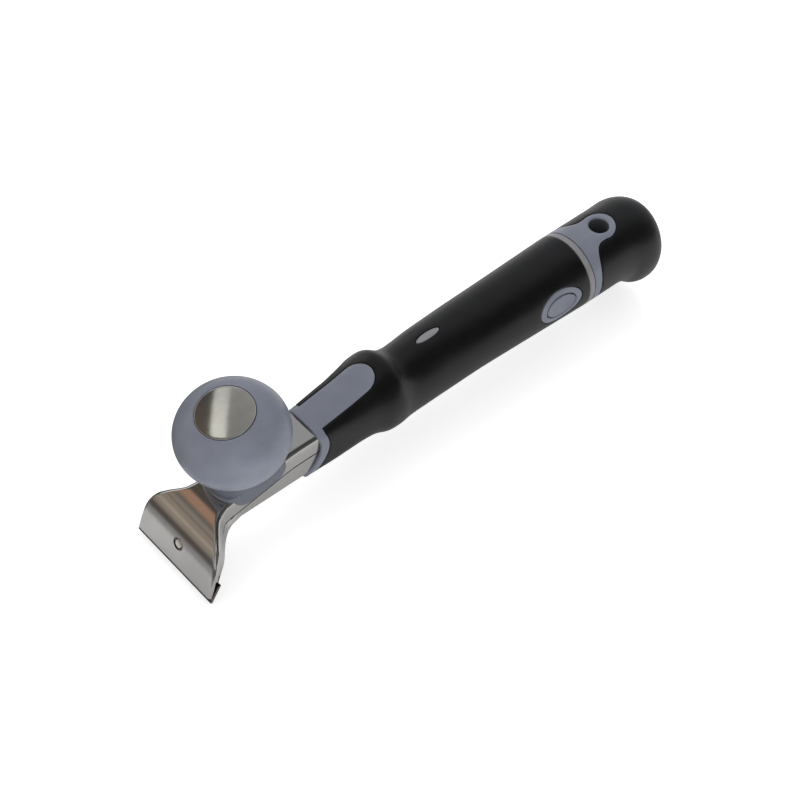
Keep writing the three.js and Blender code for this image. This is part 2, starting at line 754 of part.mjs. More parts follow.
// What lies under the sloping heel of the jaw's ears
function underHeel(drop) {
  const x = HANDLE_REACH + COLLAR_SWEEP - JAW_HEEL;
  const z = neckBottom - drop;
  const top = NECK_TOP - NECK_FLANGE - PLAY;
  const topX = x - (top - z) / Math.tan(JAW_HEEL_RISE);
  return prismY(polygon([[x, z], [topX, top], [x - FAR, top], [x - FAR, -FAR], [x, -FAR]]), -FAR, FAR);
}

const pinHalf = neckHalf + PLAY + PIN_SEAT;

function crossPin(x, z, radius, half) {
  return rod(radius, -half, half, SMALL_ROUND, moved(x, 0, z, zToY));
}

// Button and latch: a frame turned about the handle axis, Y outwards

const buttonTurn = new THREE.Matrix4().makeRotationX(BUTTON_TURN);
const unturned = buttonTurn.clone().invert();
const buttonFace = barrelAt(BUTTON_AT)[0];
const bezelBottom = buttonFace - BEZEL_THICKNESS;
const skirtTop = bezelBottom - GAP;
const skirtBottom = skirtTop - BUTTON_SKIRT;
const pocketFloor = skirtBottom - BUTTON_TRAVEL - PLAY;
const latchOpening = LATCH_STUD_RADIUS + PLAY;
const latchMiddle = BUTTON_TRAVEL - PIN_FIT / 2;
const grooveRadius = latchOpening - latchMiddle - PLAY;
const latchBottom = latchMiddle - latchOpening - LATCH_RIM;
const latchHalf = latchOpening + LATCH_RIM - GAP;

function buttonOval(margin) {
  return ellipse(BUTTON_AT, 0, BUTTON_LENGTH / 2 + margin, BUTTON_WIDTH / 2 + margin);
}

function bezelOval(margin) {
  return ellipse(BUTTON_AT, 0, BEZEL_LENGTH / 2 + margin, BEZEL_WIDTH / 2 + margin);
}

function bezel() {
  const ring = prismY(bezelOval(0), bezelBottom, FAR).subtract(prismY(buttonOval(PLAY), 0, FAR));
  return ring.intersect(barrel(() => 0, unturned));
}

function releaseButton() {
  const head = prismY(buttonOval(0), skirtTop - GAP, FAR).intersect(barrel(() => -BUTTON_PROUD, unturned));
  return head.add(prismY(buttonOval(BUTTON_SKIRT), skirtBottom, skirtTop));
}

function latchPlate() {
  const top = skirtBottom - GAP;
  const outline = roundedRectangle(latchBottom, -latchHalf, top, latchHalf, LATCH_RIM);
  outline.holes.push(ellipse(latchMiddle, 0, latchOpening, latchOpening));
  return prismX(outline, BUTTON_AT - LATCH_THICKNESS / 2, BUTTON_AT + LATCH_THICKNESS / 2, OVAL_DETAIL);
}

function latchSpring() {
  const radius = SPRING_RADIUS - SPRING_WIRE / 2;
  const sides = 6;
  const steps = SPRING_TURNS * 12;
  const top = latchBottom - GAP - SPRING_WIRE / 2;
  const length = SPRING_LENGTH - SPRING_WIRE;
  const rings = Array.from({ length: steps + 1 }, (_, i) => {
    const turn = (2 * Math.PI * SPRING_TURNS * i) / steps;
    return Array.from({ length: sides }, (_, k) => {
      const angle = (2 * Math.PI * k) / sides;
      const reach = radius + (SPRING_WIRE / 2) * Math.cos(angle);
      const y = top - (length * i) / steps + (SPRING_WIRE / 2) * Math.sin(angle);
      return new THREE.Vector3(BUTTON_AT + reach * Math.cos(turn), y, reach * Math.sin(turn));
    });
  });
  return loft(rings);
}

// Room in the core for the bezel, the button, the latch plate and its spring
function latchPocket() {
  const bezelSeat = prismY(bezelOval(GAP), bezelBottom - GAP, FAR, buttonTurn);
  const button = prismY(buttonOval(BUTTON_SKIRT + PLAY), pocketFloor, FAR, buttonTurn);
  const thin = LATCH_THICKNESS / 2 + PLAY;
  const wide = latchHalf + PLAY;
  const slotShape = rectangle(BUTTON_AT - thin, -wide, BUTTON_AT + thin, wide);
  const slot = prismY(slotShape, latchBottom - BUTTON_TRAVEL - PLAY, FAR, buttonTurn);
  const springFloor = latchBottom - SPRING_LENGTH - 2 * GAP;
  const well = ellipse(BUTTON_AT, 0, SPRING_RADIUS + PLAY, SPRING_RADIUS + PLAY);
  return bezelSeat.add(button).add(slot).add(prismY(well, springFloor, 0, buttonTurn));
}

// End cap

// The eyelet's ends are flat, at the skin's height beside the hole
const [hangHalf, hangTop, hangBottom] = pommelAt(hangX);
const eyeletShare = Math.sqrt(1 - (HANG_HOLE / hangHalf) ** 2);
const eyeletTop = hangTop * eyeletShare;
const eyeletBottom = -hangBottom * eyeletShare;

function capWeb(margin) {
  const ringX = partingX - CAP_RING;
  const half = WEB_HALF + margin;
  const side = (sign) => [ringX - margin, sign * RIM_RADIUS];
  const control = (sign) => [ringX - CAP_RING / 2 - margin, sign * half];
  const shape = new THREE.Shape();
  shape.moveTo(...side(1));
  shape.quadraticCurveTo(...control(1), hangX + HANG_HOLE, half);
  shape.lineTo(hangX, half);
  shape.lineTo(hangX, -half);
  shape.lineTo(hangX + HANG_HOLE, -half);
  shape.quadraticCurveTo(...control(-1), ...side(-1));
  return prismZ(shape, -FAR, FAR);
}

function eyelet(radius, from, to) {
  return rod(radius, from, to, ROUND, moved(hangX, 0, 0));
}

function spigotOutline() {
  const front = RIM_WIDTH + GAP + BUTTON_AT - LATCH_THICKNESS / 2 - PLAY;
  const back = front + LATCH_THICKNESS + 2 * PLAY;
  const shoulder = SPIGOT_LENGTH;
  const tip = back + LATCH_HEAD;
  return [
    [0, -CAP_RING / 2],
    [SPIGOT_RADIUS, -CAP_RING / 2],
    [SPIGOT_RADIUS, shoulder],
    [LATCH_STUD_RADIUS, shoulder],
    [LATCH_STUD_RADIUS, front],
    [grooveRadius, front],
    [grooveRadius, back],
    [LATCH_STUD_RADIUS, back],
    [LATCH_STUD_RADIUS, tip - LATCH_HEAD / 3],
    [LATCH_STUD_RADIUS - LATCH_HEAD / 3, tip],
    [0, tip],
  ];
}

function capSocket() {
  const end = spigotOutline().at(-1)[1] + PLAY;
  const wide = rod(SPIGOT_RADIUS + PLAY, -FAR, SPIGOT_LENGTH + PLAY, ROUND, moved(partingX, 0, 0, zToX));
  return wide.add(rod(LATCH_STUD_RADIUS + PLAY, 0, end, SMALL_ROUND, moved(partingX, 0, 0, zToX)));
}

// Pieces

function handleCore() {
  const inner = barrel(gripWall);
  const outer = barrel(() => 0);
  const shown = outer
    .intersect(tongue(0).add(ovalMark(0)).add(slab(-FAR, 0)))
    .add(outer.subtract(behindCollar(-COLLAR_BAND)));
  return inner
    .add(shown)
    .intersect(behindCollar(0))
    .subtract(tangSocket())
    .subtract(capSocket())
    .subtract(latchPocket())
    .subtract(crossPin(pivotX, -PIVOT_DROP, PIN_RADIUS + PIN_FIT, pinHalf + PIN_FIT))
    .subtract(crossPin(tangPinX, TANG_PIN_RISE, PIN_RADIUS + PIN_FIT, pinHalf + PIN_FIT));
}

function handleGrip() {
  return barrel(() => 0)
    .intersect(behindCollar(-COLLAR_BAND - GAP))
    .subtract(slab(-FAR, GAP))
    .subtract(barrel((x) => gripWall(x) - GAP))
    .subtract(tongue(GAP))
    .subtract(ovalMark(GAP))
    .subtract(prismY(bezelOval(GAP), 0, FAR, buttonTurn));
}

function capCore() {
  const inner = pommel(CAP_WALL).intersect(slab(capEndX + CAP_WALL, FAR));
  const shown = pommel(0)
    .intersect(slab(partingX - CAP_RING, FAR).add(capWeb(0)))
    .subtract(eyelet(EYELET_RADIUS, eyeletTop, FAR))
    .subtract(eyelet(EYELET_RADIUS, -FAR, eyeletBottom));
  return inner
    .add(shown)
    .add(eyelet(EYELET_RADIUS, eyeletBottom, eyeletTop))
    .add(turned(spigotOutline(), ROUND, moved(partingX, 0, 0, zToX)))
    .subtract(eyelet(HANG_HOLE, -FAR, FAR));
}

function capGrip() {
  return pommel(0)
    .subtract(pommel(CAP_WALL - GAP).intersect(slab(capEndX + CAP_WALL - GAP, FAR)))
    .subtract(slab(partingX - CAP_RING - GAP, FAR))
    .subtract(capWeb(GAP))
    .subtract(eyelet(EYELET_RADIUS + GAP, -FAR, FAR));
}

function upperShell() {
  return upperSheet()
    .subtract(bladeSlot())
    .subtract(rod(STOP_HOLE, -SHEET - GAP, FAR, SMALL_ROUND, stopPlace))
    .subtract(studBore(PLAY))
    .subtract(crossPin(tangPinX, TANG_PIN_RISE, PIN_RADIUS + PIN_FIT, FAR));
}

function lowerShell() {
  return lowerSheet()
    .subtract(bladeSlot())
    .subtract(underHeel(0))
    .subtract(crossPin(pivotX, -PIVOT_DROP, PIN_RADIUS + PIN_FIT, FAR));
}

// Assembly

function piece(name, manifold, finishName) {
  const { vertProperties, triVerts } = manifold.getMesh();
  const geometry = new THREE.BufferGeometry();
  geometry.setAttribute('position', new THREE.BufferAttribute(new Float32Array(vertProperties), 3));
  geometry.setIndex(new THREE.BufferAttribute(new Uint32Array(triVerts), 1));
  geometry.computeVertexNormals();
  const mesh = new THREE.Mesh(geometry, finish(finishName));
  mesh.name = name;
  return mesh;
}

const head = new THREE.Group();
head.add(
  piece('upper_shell', upperShell(), 'steel'),
  piece('lower_shell', lowerShell(), 'steel'),
  piece('blade', blade(), 'hardMetal'),
  piece('stop_pin', turned(stopPin(), SMALL_ROUND, stopPlace), 'plainSteel'),
  piece('clamp_nut', clampNut(), 'plainSteel'),
);

const knob = new THREE.Group();
knob.position.copy(seatPoint);
knob.rotation.y = SEAT_TILT;
knob.add(
  piece('knob_ball', turned(ballOutline(), KNOB_ROUND), 'grey'),
  piece('knob_cap', turned(capOutline(), KNOB_ROUND), 'steel'),
  piece('knob_foot', knobFoot(), 'grey'),
  piece('knob_stud', turned(studOutline(), SMALL_ROUND), 'plainSteel'),
  piece('thrust_washer', turned(washerOutline(), SMALL_ROUND), 'plainSteel'),
);

const handle = new THREE.Group();
handle.add(
  piece('handle_core', handleCore(), 'grey'),
  piece('handle_grip', handleGrip(), 'black'),
  piece('jaw_pivot_pin', crossPin(pivotX, -PIVOT_DROP, PIN_RADIUS, pinHalf), 'plainSteel'),
  piece('tang_pin', crossPin(tangPinX, TANG_PIN_RISE, PIN_RADIUS, pinHalf), 'plainSteel'),
);

const latch = new THREE.Group();
latch.rotation.x = BUTTON_TURN;
latch.add(
  piece('button_bezel', bezel(), 'grey'),
  piece('release_button', releaseButton(), 'grey'),
  piece('latch_plate', latchPlate(), 'plainSteel'),
  piece('latch_spring', latchSpring(), 'plainSteel'),
);

const endCap = new THREE.Group();
endCap.add(
  piece('cap_core', capCore(), 'grey'),
  piece('cap_grip', capGrip(), 'black'),
);

// The finished tool's origin is under the middle of its length, at its lowest point
const scraper = new THREE.Group();
scraper.add(head, knob, handle, latch, endCap);
const box = new THREE.Box3().setFromObject(scraper, true);
scraper.position.set(-(box.min.x + box.max.x) / 2, 0, -box.min.z);

export default scraper;
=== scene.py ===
"""The paint scraper's looks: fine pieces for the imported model, their finishes, and a stage with light."""
import json
import math
from collections import namedtuple

import bmesh
import bpy
import numpy as np
from mathutils import Matrix, Vector
from mathutils.geometry import delaunay_2d_cdt


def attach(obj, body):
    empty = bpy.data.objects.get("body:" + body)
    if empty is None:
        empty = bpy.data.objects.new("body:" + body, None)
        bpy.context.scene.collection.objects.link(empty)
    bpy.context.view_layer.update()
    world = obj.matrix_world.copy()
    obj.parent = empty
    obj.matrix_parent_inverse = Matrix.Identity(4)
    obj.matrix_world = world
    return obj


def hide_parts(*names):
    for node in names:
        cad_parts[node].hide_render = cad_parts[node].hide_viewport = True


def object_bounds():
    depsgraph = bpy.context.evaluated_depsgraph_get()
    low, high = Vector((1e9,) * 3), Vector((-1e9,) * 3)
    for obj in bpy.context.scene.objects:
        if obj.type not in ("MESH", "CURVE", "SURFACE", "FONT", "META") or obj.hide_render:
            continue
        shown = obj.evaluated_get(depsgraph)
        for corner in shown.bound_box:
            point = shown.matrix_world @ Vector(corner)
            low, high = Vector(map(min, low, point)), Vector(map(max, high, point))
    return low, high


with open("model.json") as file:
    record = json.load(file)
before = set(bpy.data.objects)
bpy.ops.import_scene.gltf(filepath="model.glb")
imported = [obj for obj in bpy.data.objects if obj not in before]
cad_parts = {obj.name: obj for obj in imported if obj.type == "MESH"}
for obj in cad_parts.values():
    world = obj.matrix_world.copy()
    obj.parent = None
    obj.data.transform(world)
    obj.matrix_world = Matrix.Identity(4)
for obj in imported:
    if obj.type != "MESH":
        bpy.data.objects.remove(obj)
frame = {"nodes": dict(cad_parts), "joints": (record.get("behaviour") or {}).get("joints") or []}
cad_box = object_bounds()
joints = {joint["name"]: joint for joint in frame["joints"]}

# Sizes are in millimetres, in the tool's own frame: X along the handle, 0 at the rear rim's front edge
MM = 0.001
PI = math.pi

# Fits
GAP = 0.3
PLAY = 0.35
PIN_FIT = 0.2

# Head shells
SHEET = 1.2
SHEET_EDGE = 0.2  # broken edge of the sheet
NECK_WIDTH = 19.6
NECK_HEIGHT = 22.8
NECK_TOP = 9.1
NECK_LENGTH = 8
NECK_CORNER = 2.6
JAW_CORNER = 3.6
LIP_CORNER = 1.7
TANG_LENGTH = 38
JAW_TANG_LENGTH = 14
JAW_HEEL = 2.4
JAW_HEEL_RISE = math.radians(22)
SEAT_TILT = math.radians(12.6)
SEAT_BEND = 60
SEAT_LENGTH = 29
LIP_TILT = math.radians(74)
LIP_LENGTH = 15.5
HEAD_BEND = 23
FLARE = [(0, 0), (6, 0.13), (13, 0.51), (18, 0.75), (26, 0.94), (34, 1)]
JAW_FLARE = [(-5, 0), (6, 0.19), (12, 0.36), (18, 0.61), (24, 0.85), (34, 1)]
FLANGE = [(0, 9.6), (8, 6), (13, 3.8), (25, 2.6), (40, 1.9)]
NECK_FLANGE = 9.9
PARTING = 0.4
JAW_INSET = 2

# Blade and its stop pin
BLADE_WIDTH = 50
BLADE_HEIGHT = 10.4
BLADE_THICKNESS = 1.6
BLADE_BEVEL = 0.75
BLADE_TILT = math.radians(62)
BLADE_REACH = 3
BLADE_EDGE = 0.12
SLOT_MARGIN = 3
SLOT_SHAVE = 0.02  # how far the slot cuts into the sheet's faces
STOP_SPARE = 2
STOP_RADIUS = 2.3
STOP_HOLE = 3.1
STOP_SHOULDER = 3.8
STOP_SHOULDER_HEIGHT = 1
STOP_DOME = 0.15  # crown of the pin's peened end
STOP_FACE = 1.9
STOP_DROP = 0.9

# Knob
KNOB_HEIGHT = 45.1
BALL_RADIUS = 24.9
BALL_SEMI_HEIGHT = 19.1
BALL_BASE = 14.1
BALL_ROUND = 1.4  # rounding of the ball's lower edge
BALL_UNDER = 2.2  # how far in under the ball it starts, as a share of it
BALL_KNEE = 0.9  # and where it bends
BALL_LIP = 0.25  # rounding of the ball's edge round the cap
BALL_LIP_DROP = 0.03
CAP_RADIUS = 12.7
CAP_THICKNESS = 1.6
CAP_CROWN = 0.7
CAP_ROUND = 0.3
FOOT_RADIUS = 18.2
FOOT_RIM = 4
FOOT_NECK = 14.5
FOOT_WALL = 1.3
FOOT_SKIRT = 7
FOOT_CORNER = 6
FOOT_FRONT_CORNER = 9
FOOT_SOFTNESS = 12  # the higher, the sharper the corners between the foot's flats and its round ends
FOOT_ROUND = 0.5
WASHER_THICKNESS = 1
STUD_RADIUS = 3
STUD_HEAD_RADIUS = 6
STUD_HEAD_HEIGHT = 5

# Pins across the handle
PIN_RADIUS = 1.5
PIN_SEAT = 1.2
PIVOT_SETBACK = 9.4
PIVOT_DROP = 4.6
TANG_PIN_SETBACK = 29
TANG_PIN_RISE = 3

# Handle
HANDLE_REACH = 157.4
RIM_WIDTH = 3.2
RIM_RADIUS = 18.4
BARREL = [  # back from the collar, half width, top, bottom, squareness
    (97.4, 16.8, 16.5, 16.9, 2),
    (71.4, 15.8, 16.6, 19.2, 2),
    (55.4, 15.2, 15.1, 20.5, 2),
    (49.4, 15.9, 16.4, 20.4, 2),
    (43.4, 17.9, 20.3, 18.9, 2.05),
    (37.4, 17.7, 19.3, 17.9, 2.15),
    (31.4, 15.7, 18.4, 15.2, 2.3),
    (19.4, 13.7, 14.8, 14.8, 2.8),
]
BARREL_SOFTNESS = 1.6  # length along the handle over which its sections blend
COLLAR_WALL = 1
COLLAR_SQUARENESS = 5
COLLAR_BAND = 4
COLLAR_BACK = 4.5
COLLAR_SWEEP = 6
COLLAR_LIP = 0.2  # how much closer the mouth holds the neck's top and sides
COLLAR_LIP_FADE = (-0.7, -0.2)  # heights, as sines, between which the lip sets in
JAW_ROOM = 0.5
GRIP_WALL = 2.5
GRIP_EDGE = 1
TONGUE_WIDTH = 15.5
TONGUE_LENGTH = 37.4
MARK_AT = 86.5
MARK_LENGTH = 13.2
MARK_WIDTH = 3.7
GRIP_ROUND = 0.45  # rounding of the soft grip's edges
CORE_ROUND = 0.3  # and of the hard plastic's
RIM_ROUND = 0.55  # and of the rear rim, where it meets the end cap

# Button
BUTTON_AT = 18.2
BUTTON_TURN = math.radians(12)
BUTTON_VIEW = 1.2  # radians to each side in which its seams are looked for
BUTTON_LENGTH = 17.8
BUTTON_WIDTH = 10
BUTTON_TRAVEL = 2
BUTTON_PROUD = 0.1
BUTTON_DISH = 1.0
BUTTON_GAP = 0.55
BUTTON_ROUND = 0.5
BUTTON_SKIRT = 1.4
POCKET_STEP = 0.05  # fall of the bezel's seat towards the pocket
BEZEL_LENGTH = 25.2
BEZEL_WIDTH = 15.4
BEZEL_THICKNESS = 2.4
LATCH_THICKNESS = 1.6
LATCH_RIM = 2.2
SPRING_RADIUS = 2
SPRING_LENGTH = 6.6

# End cap
POMMEL = [  # back from the parting line, half width, top, bottom
    (12.5, 18.4, 18.5, 18.4),
    (21, 18.5, 18.5, 18.6),
    (28, 19.2, 18.2, 21.6),
    (32.5, 20.3, 17.9, 25.4),
    (37, 20.8, 17.4, 26.8),
    (41.5, 20.2, 16.3, 26.2),
    (45.5, 17.9, 14.5, 23.2),
    (48, 14.4, 12.2, 18.7),
    (49, 11.8, 10, 15.6),
]
POMMEL_SOFTNESS = 0.6
CAP_WALL = 2.6
CAP_RING = 4.2
SPIGOT_RADIUS = 12.5
SPIGOT_LENGTH = 9
SPIGOT_CHAMFER = 0.6
LATCH_STUD_RADIUS = 4.2
LATCH_HEAD = 3
HANG_HOLE = 4.8
HANG_ROUND = 0.9
HANG_AT = 17.1
EYELET_RADIUS = 8
WEB_HALF = 7.7

# How finely the surfaces are cut
TURN_STEPS = 180
OVAL_STEPS = 80
SEAM_STEPS = 64
SIDE_STEPS = 30
ARC_STEPS = 16
WEB_STEPS = 36
EYELET_STEPS = 32
ROUND_STEPS = 5
RUN_STEPS = 5
BEND_STEPS = 9
SOCKET_STEPS = 12
SWEEP_STEPS = 14
BALL_STEPS = 56
HOLE_TURN = 24
WELL_TURN = 32
PIN_TURN = 48
ROD_TURN = 64
CAP_TURN = 96
BALL_TURN = 144
FOOT_TURN = 288
ARCH_STEPS = 97
INWARD = (0.8, 0.6, 0.4, 0.2)  # rings that close a face, as shares of the way out
SKIN_STEP = 0.1
GRIP_STEP = 1.5
CORE_STEP = 2.5
SHOWN_STEP = 1
KEEP_OFF = 0.65  # how near points inside an outline come to it, as a share of the step
FLAT_RADIUS = 17  # unrolls an angle about the handle to a length
SAME_PLACE = 1e-5  # points of an unrolled patch this near count as one
WELD = 2e-6  # the same for a whole mesh, in metres
SETTLE_ROUNDS = 30  # for the collar's line
HALVINGS = 40  # for the angles of the button's seams
CREASE = 35  # degrees between faces, over which an edge is sharp

# Stage and camera, in metres
LENS = 90.0
SENSOR = 36.0
CAMERA_AT = (0.424273, 0.4004, 0.708149)
RIGHT = (-0.747, 0.662, 0.062)
DOWN = (0.482, 0.603, -0.635)
TOWARD = (0.458, 0.445, 0.770)
FLOOR_SIZE = 3.0
FLOOR_DROP = 0.0005
FLOOR_COLOUR = (0.8, 0.8, 0.8, 1)
FLOOR_GLOW = 0.56  # for the camera
FLOOR_GLOSS = 0.05  # in reflections
WHITE = (1, 1, 1, 1)
WORLD_LIGHT = 0.72
HEAD_AT = (0.13, 0.0, 0.021)
CARD_AWAY = 0.7
CARD_SIDE = 0.95
FRONT_SIDE = 0.5
CARD_LOWEST = 0.95  # of the way down to the floor
CARD_NOISE = 5.0
CARD_SHIFT = 0.035
CAP_CARD_AWAY = 0.4
CAP_CARD_TALL = 1.45
WALL_ALONG = (-1.0, 1.0)
FADES = (-0.36, -0.12)  # directions, as shares of Y, between which a card's hue fades
FADED = 0.25

# Colours of the cards
DARK = (0.07, 0.07, 0.07)
SHADE = (0.15, 0.15, 0.15)
PALE = (0.95, 0.94, 0.93)
BROWN = (0.14, 0.115, 0.105)
TAN = (0.46, 0.38, 0.31)
SAND = (0.35, 0.31, 0.265)
SAGE = (0.20, 0.19, 0.165)
RUST = (0.52, 0.32, 0.215)
GREY = (0.47, 0.47, 0.465)
COOL = (0.465, 0.475, 0.49)
DIM = (0.32, 0.315, 0.30)
FRONT_STOPS = [  # by degrees over the horizon
    (-36, GREY),
    (-30, (0.27, 0.25, 0.24)),
    (-24, BROWN),
    (-16, BROWN),
    (-9, SAND),
    (0, TAN),
    (4, (0.60, 0.51, 0.43)),
    (8, TAN),
    (12, (0.36, 0.30, 0.25)),
    (15, TAN),
    (20, (0.28, 0.23, 0.20)),
    (28, (0.39, 0.345, 0.295)),
    (38, SAGE),
    (48, RUST),
    (60, RUST),
    (66, BROWN),
    (72, DARK),
    (90, DIM),
]
TOP_STOPS = [  # by places along Y
    (-CARD_SIDE, COOL),
    (-0.04, COOL),
    (0.1, (0.255, 0.26, 0.265)),
    (0.28, DARK),
    (CARD_SIDE, DARK),
]

# Places that follow from the sizes
neck_half = NECK_WIDTH / 2
neck_bottom = NECK_TOP - NECK_HEIGHT
heel_x = HANDLE_REACH + COLLAR_SWEEP - JAW_HEEL
heel_top = NECK_TOP - NECK_FLANGE - PLAY
parting_x = -RIM_WIDTH - GAP
hang_x = parting_x - HANG_AT
tongue_end = HANDLE_REACH - TONGUE_LENGTH
pivot_x = HANDLE_REACH - PIVOT_SETBACK
tang_pin_x = HANDLE_REACH - TANG_PIN_SETBACK
pin_half = neck_half + PLAY + PIN_SEAT
wedge = LIP_TILT - BLADE_TILT
tool_origin = np.array(joints["jaw_open"]["pos_m"]) - MM * np.array([pivot_x, 0, -PIVOT_DROP])
knob_origin = np.array(joints["knob_turn"]["pos_m"])
knob_axis = np.array(joints["knob_turn"]["axis"])


def in_tool(points):
    return tool_origin + MM * points


def axes_about(up):
    """The axes of a frame whose Z is up and whose Y is the tool's."""
    across = np.array([0, 1, 0])
    return np.stack([np.cross(across, up), across, up])


def in_knob(points):
    return knob_origin + MM * points @ axes_about(knob_axis)


# Curves


def hermite(t, a, slope_a, b, slope_b):
    u = 1 - t
    return u * u * ((1 + 2 * t) * a + t * slope_a) + t * t * ((3 - 2 * t) * b - u * slope_b)


def bezier(t, start, control, end):
    return (1 - t) ** 2 * start + 2 * t * (1 - t) * control + t**2 * end


def smooth_through(knots):
    """A smooth value over x through (x, value) knots, level at its peaks and hollows."""
    x, value = np.array(knots, float).T
    before = np.maximum(np.arange(len(x)) - 1, 0)
    after = np.minimum(np.arange(len(x)) + 1, len(x) - 1)
    turns = (value - value[before]) * (value[after] - value) < 0
    slopes = np.where(turns, 0, (value[after] - value[before]) / (x[after] - x[before]))

    def at(place):
        k = np.clip(np.searchsorted(x, place, side="right"), 1, len(x) - 1)
        width = x[k] - x[k - 1]
        t = np.clip((place - x[k - 1]) / width, 0, 1)
        return hermite(t, value[k - 1], slopes[k - 1] * width, value[k], slopes[k] * width)

    return at


def mix(a, b, share):
    return a + (b - a) * share


def smooth_step(x, start, end):
    t = np.clip((x - start) / (end - start), 0, 1)
    return t * t * (3 - 2 * t)


def superellipse(angle, wide, tall, square):
    c, s = np.cos(angle), np.sin(angle)
    reach = (np.abs(c / wide) ** square + np.abs(s / tall) ** square) ** (-1 / square)
    return reach * c, reach * s


def quarter(radius):
    """(cosine, sine) pairs of a quarter circle, from 0 degrees to 90."""
    turn = np.linspace(0, PI / 2, ROUND_STEPS)
    return list(zip(radius * np.cos(turn), radius * np.sin(turn)))


def roundover(margin, radius, way=1):
    """(margin, depth) pairs round an edge, from the face to the wall. The face lies on the side of way."""
    return [(margin + way * (radius - s), radius - c) for c, s in quarter(radius)]


# Meshes


def columns(*parts):
    """Points from their coordinates, each a number or a row of numbers."""
    return np.stack(np.broadcast_arrays(*[np.asarray(part, float) for part in parts]), -1)


class Surface:
    """Points and faces that grow patch by patch, and are welded into one closed mesh at the end."""

    def __init__(self):
        self.points = []
        self.faces = []
        self.count = 0

    def add(self, points, faces):
        self.points.append(points)
        self.faces += [[self.count + int(i) for i in face] for face in faces]
        self.count += len(points)

    def strip(self, rings, closed=False):
        """Quads between rings of equal count."""
        rings = np.asarray(rings, float)
        rows, n = rings.shape[:2]
        last = n if closed else n - 1
        faces = [
            (r * n + i, r * n + (i + 1) % n, (r + 1) * n + (i + 1) % n, (r + 1) * n + i)
            for r in range(rows - 1)
            for i in range(last)
        ]
        self.add(rings.reshape(-1, 3), faces)

    def fan(self, ring, middle):
        n = len(ring)
        self.add(np.vstack([ring, middle]), [(i, (i + 1) % n, n) for i in range(n)])

    def mesh(self, name, place):
        made = bpy.data.meshes.new(name)
        made.from_pydata(place(np.concatenate(self.points)).tolist(), [], self.faces)
        form = bmesh.new()
        form.from_mesh(made)
        bmesh.ops.remove_doubles(form, verts=form.verts, dist=WELD)
        bmesh.ops.recalc_face_normals(form, faces=form.faces)
        form.to_mesh(made)
        form.free()
        return made


def tube(name, rings, place):
    """A closed mesh from rings, the last of which is the first."""
    surface = Surface()
    surface.strip(rings, True)
    return surface.mesh(name, place)


def capped(rings, place):
    """A closed mesh from rings, with the first and the last filled."""
    surface = Surface()
    surface.strip(rings, True)
    for end in (rings[0], rings[-1]):
        surface.add(end, [range(len(end))])
    return surface.mesh("capped", place)


def ring(radius, height, steps):
    turn = np.linspace(0, 2 * PI, steps, endpoint=False)
    return columns(radius * np.cos(turn), radius * np.sin(turn), height)


def lathe(outline, name, place, steps):
    """A closed outline of (radius, height), turned about Z."""
    return tube(name, [ring(*point, steps) for point in [*outline, outline[0]]], place)


def rod(radius, low, high, place, steps=ROD_TURN):
    return capped([ring(radius, height, steps) for height in (low, high)], place)


def prism(section, half, place=in_tool, soft=0.0):
    """A section in x and z, running from y = -half to half, with its ends drawn in by soft."""
    points = np.array(section, float)
    away = points - points.mean(0)
    outward = away / np.linalg.norm(away, axis=1)[:, None]
    ends = [(-half, soft), (half, soft)]
    if soft:
        ends = [(-half, soft), (soft - half, 0), (half - soft, 0), (half, soft)]
    rings = []
    for y, inset in ends:
        x, z = (points - inset * outward).T
        rings.append(columns(x, y, z))
    return capped(rings, place)


def cross_hole(x, z, half):
    """Room for a pin that runs across the handle."""

    def place(points):
        return in_tool(points[:, [0, 2, 1]] + [x, 0, z])

    return rod(PIN_RADIUS + PIN_FIT, -half, half, place, HOLE_TURN)


def linked(name, data):
    made = bpy.data.objects.new(name, data)
    bpy.context.scene.collection.objects.link(made)
    return made


def cut(mesh, *cutters):
    """The mesh without the cutters' meshes."""
    body = linked("body", mesh)
    for cutter in cutters:
        tool = linked("cutter", cutter)
        step = body.modifiers.new("cut", "BOOLEAN")
        step.operation = "DIFFERENCE"
        step.solver = "MANIFOLD"
        step.object = tool
        graph = bpy.context.evaluated_depsgraph_get()
        whole = body.data
        body.data = bpy.data.meshes.new_from_object(body.evaluated_get(graph))
        body.modifiers.clear()
        bpy.data.objects.remove(tool)
        bpy.data.meshes.remove(cutter)
        bpy.data.meshes.remove(whole)
    made = body.data
    bpy.data.objects.remove(body)
    return made


def inside(points, loops):
    """Whether flat points lie inside closed loops, counting crossings."""
    crossed = np.zeros(len(points), bool)
    for loop in loops:
        for (ax, ay), (bx, by) in zip(loop, np.roll(loop, -1, 0)):
            if ay != by:
                spans = (points[:, 1] < ay) != (points[:, 1] < by)
                meets = ax + (points[:, 1] - ay) / (by - ay) * (bx - ax)
                crossed ^= spans & (points[:, 0] < meets)
    return crossed


def filled(loops, step):
    """Flat points and triangles over the region inside the loops, about a step apart."""
    outline = np.concatenate(loops)
    low, high = outline.min(0), outline.max(0)
    rows = np.arange(low[1] + step / 2, high[1], step * math.sqrt(3) / 2)
    grid = np.concatenate([
        columns(np.arange(low[0] + (i % 2) * step / 2, high[0], step), row) for i, row in enumerate(rows)
    ])
    clear = np.ones(len(grid), bool)
    for x, y in outline:
        clear &= np.hypot(grid[:, 0] - x, grid[:, 1] - y) > KEEP_OFF * step
    points = np.concatenate([outline, grid[clear & inside(grid, loops)]])
    edges = []
    start = 0
    for loop in loops:
        n = len(loop)
        edges += [(start + i, start + (i + 1) % n) for i in range(n)]
        start += n
    made = delaunay_2d_cdt([Vector(p) for p in points], edges, [], 0, SAME_PLACE)
    places = points[[origin[0] for origin in made[3]]]
    faces = np.array(made[2])
    return places, faces[inside(places[faces].mean(1), loops)]


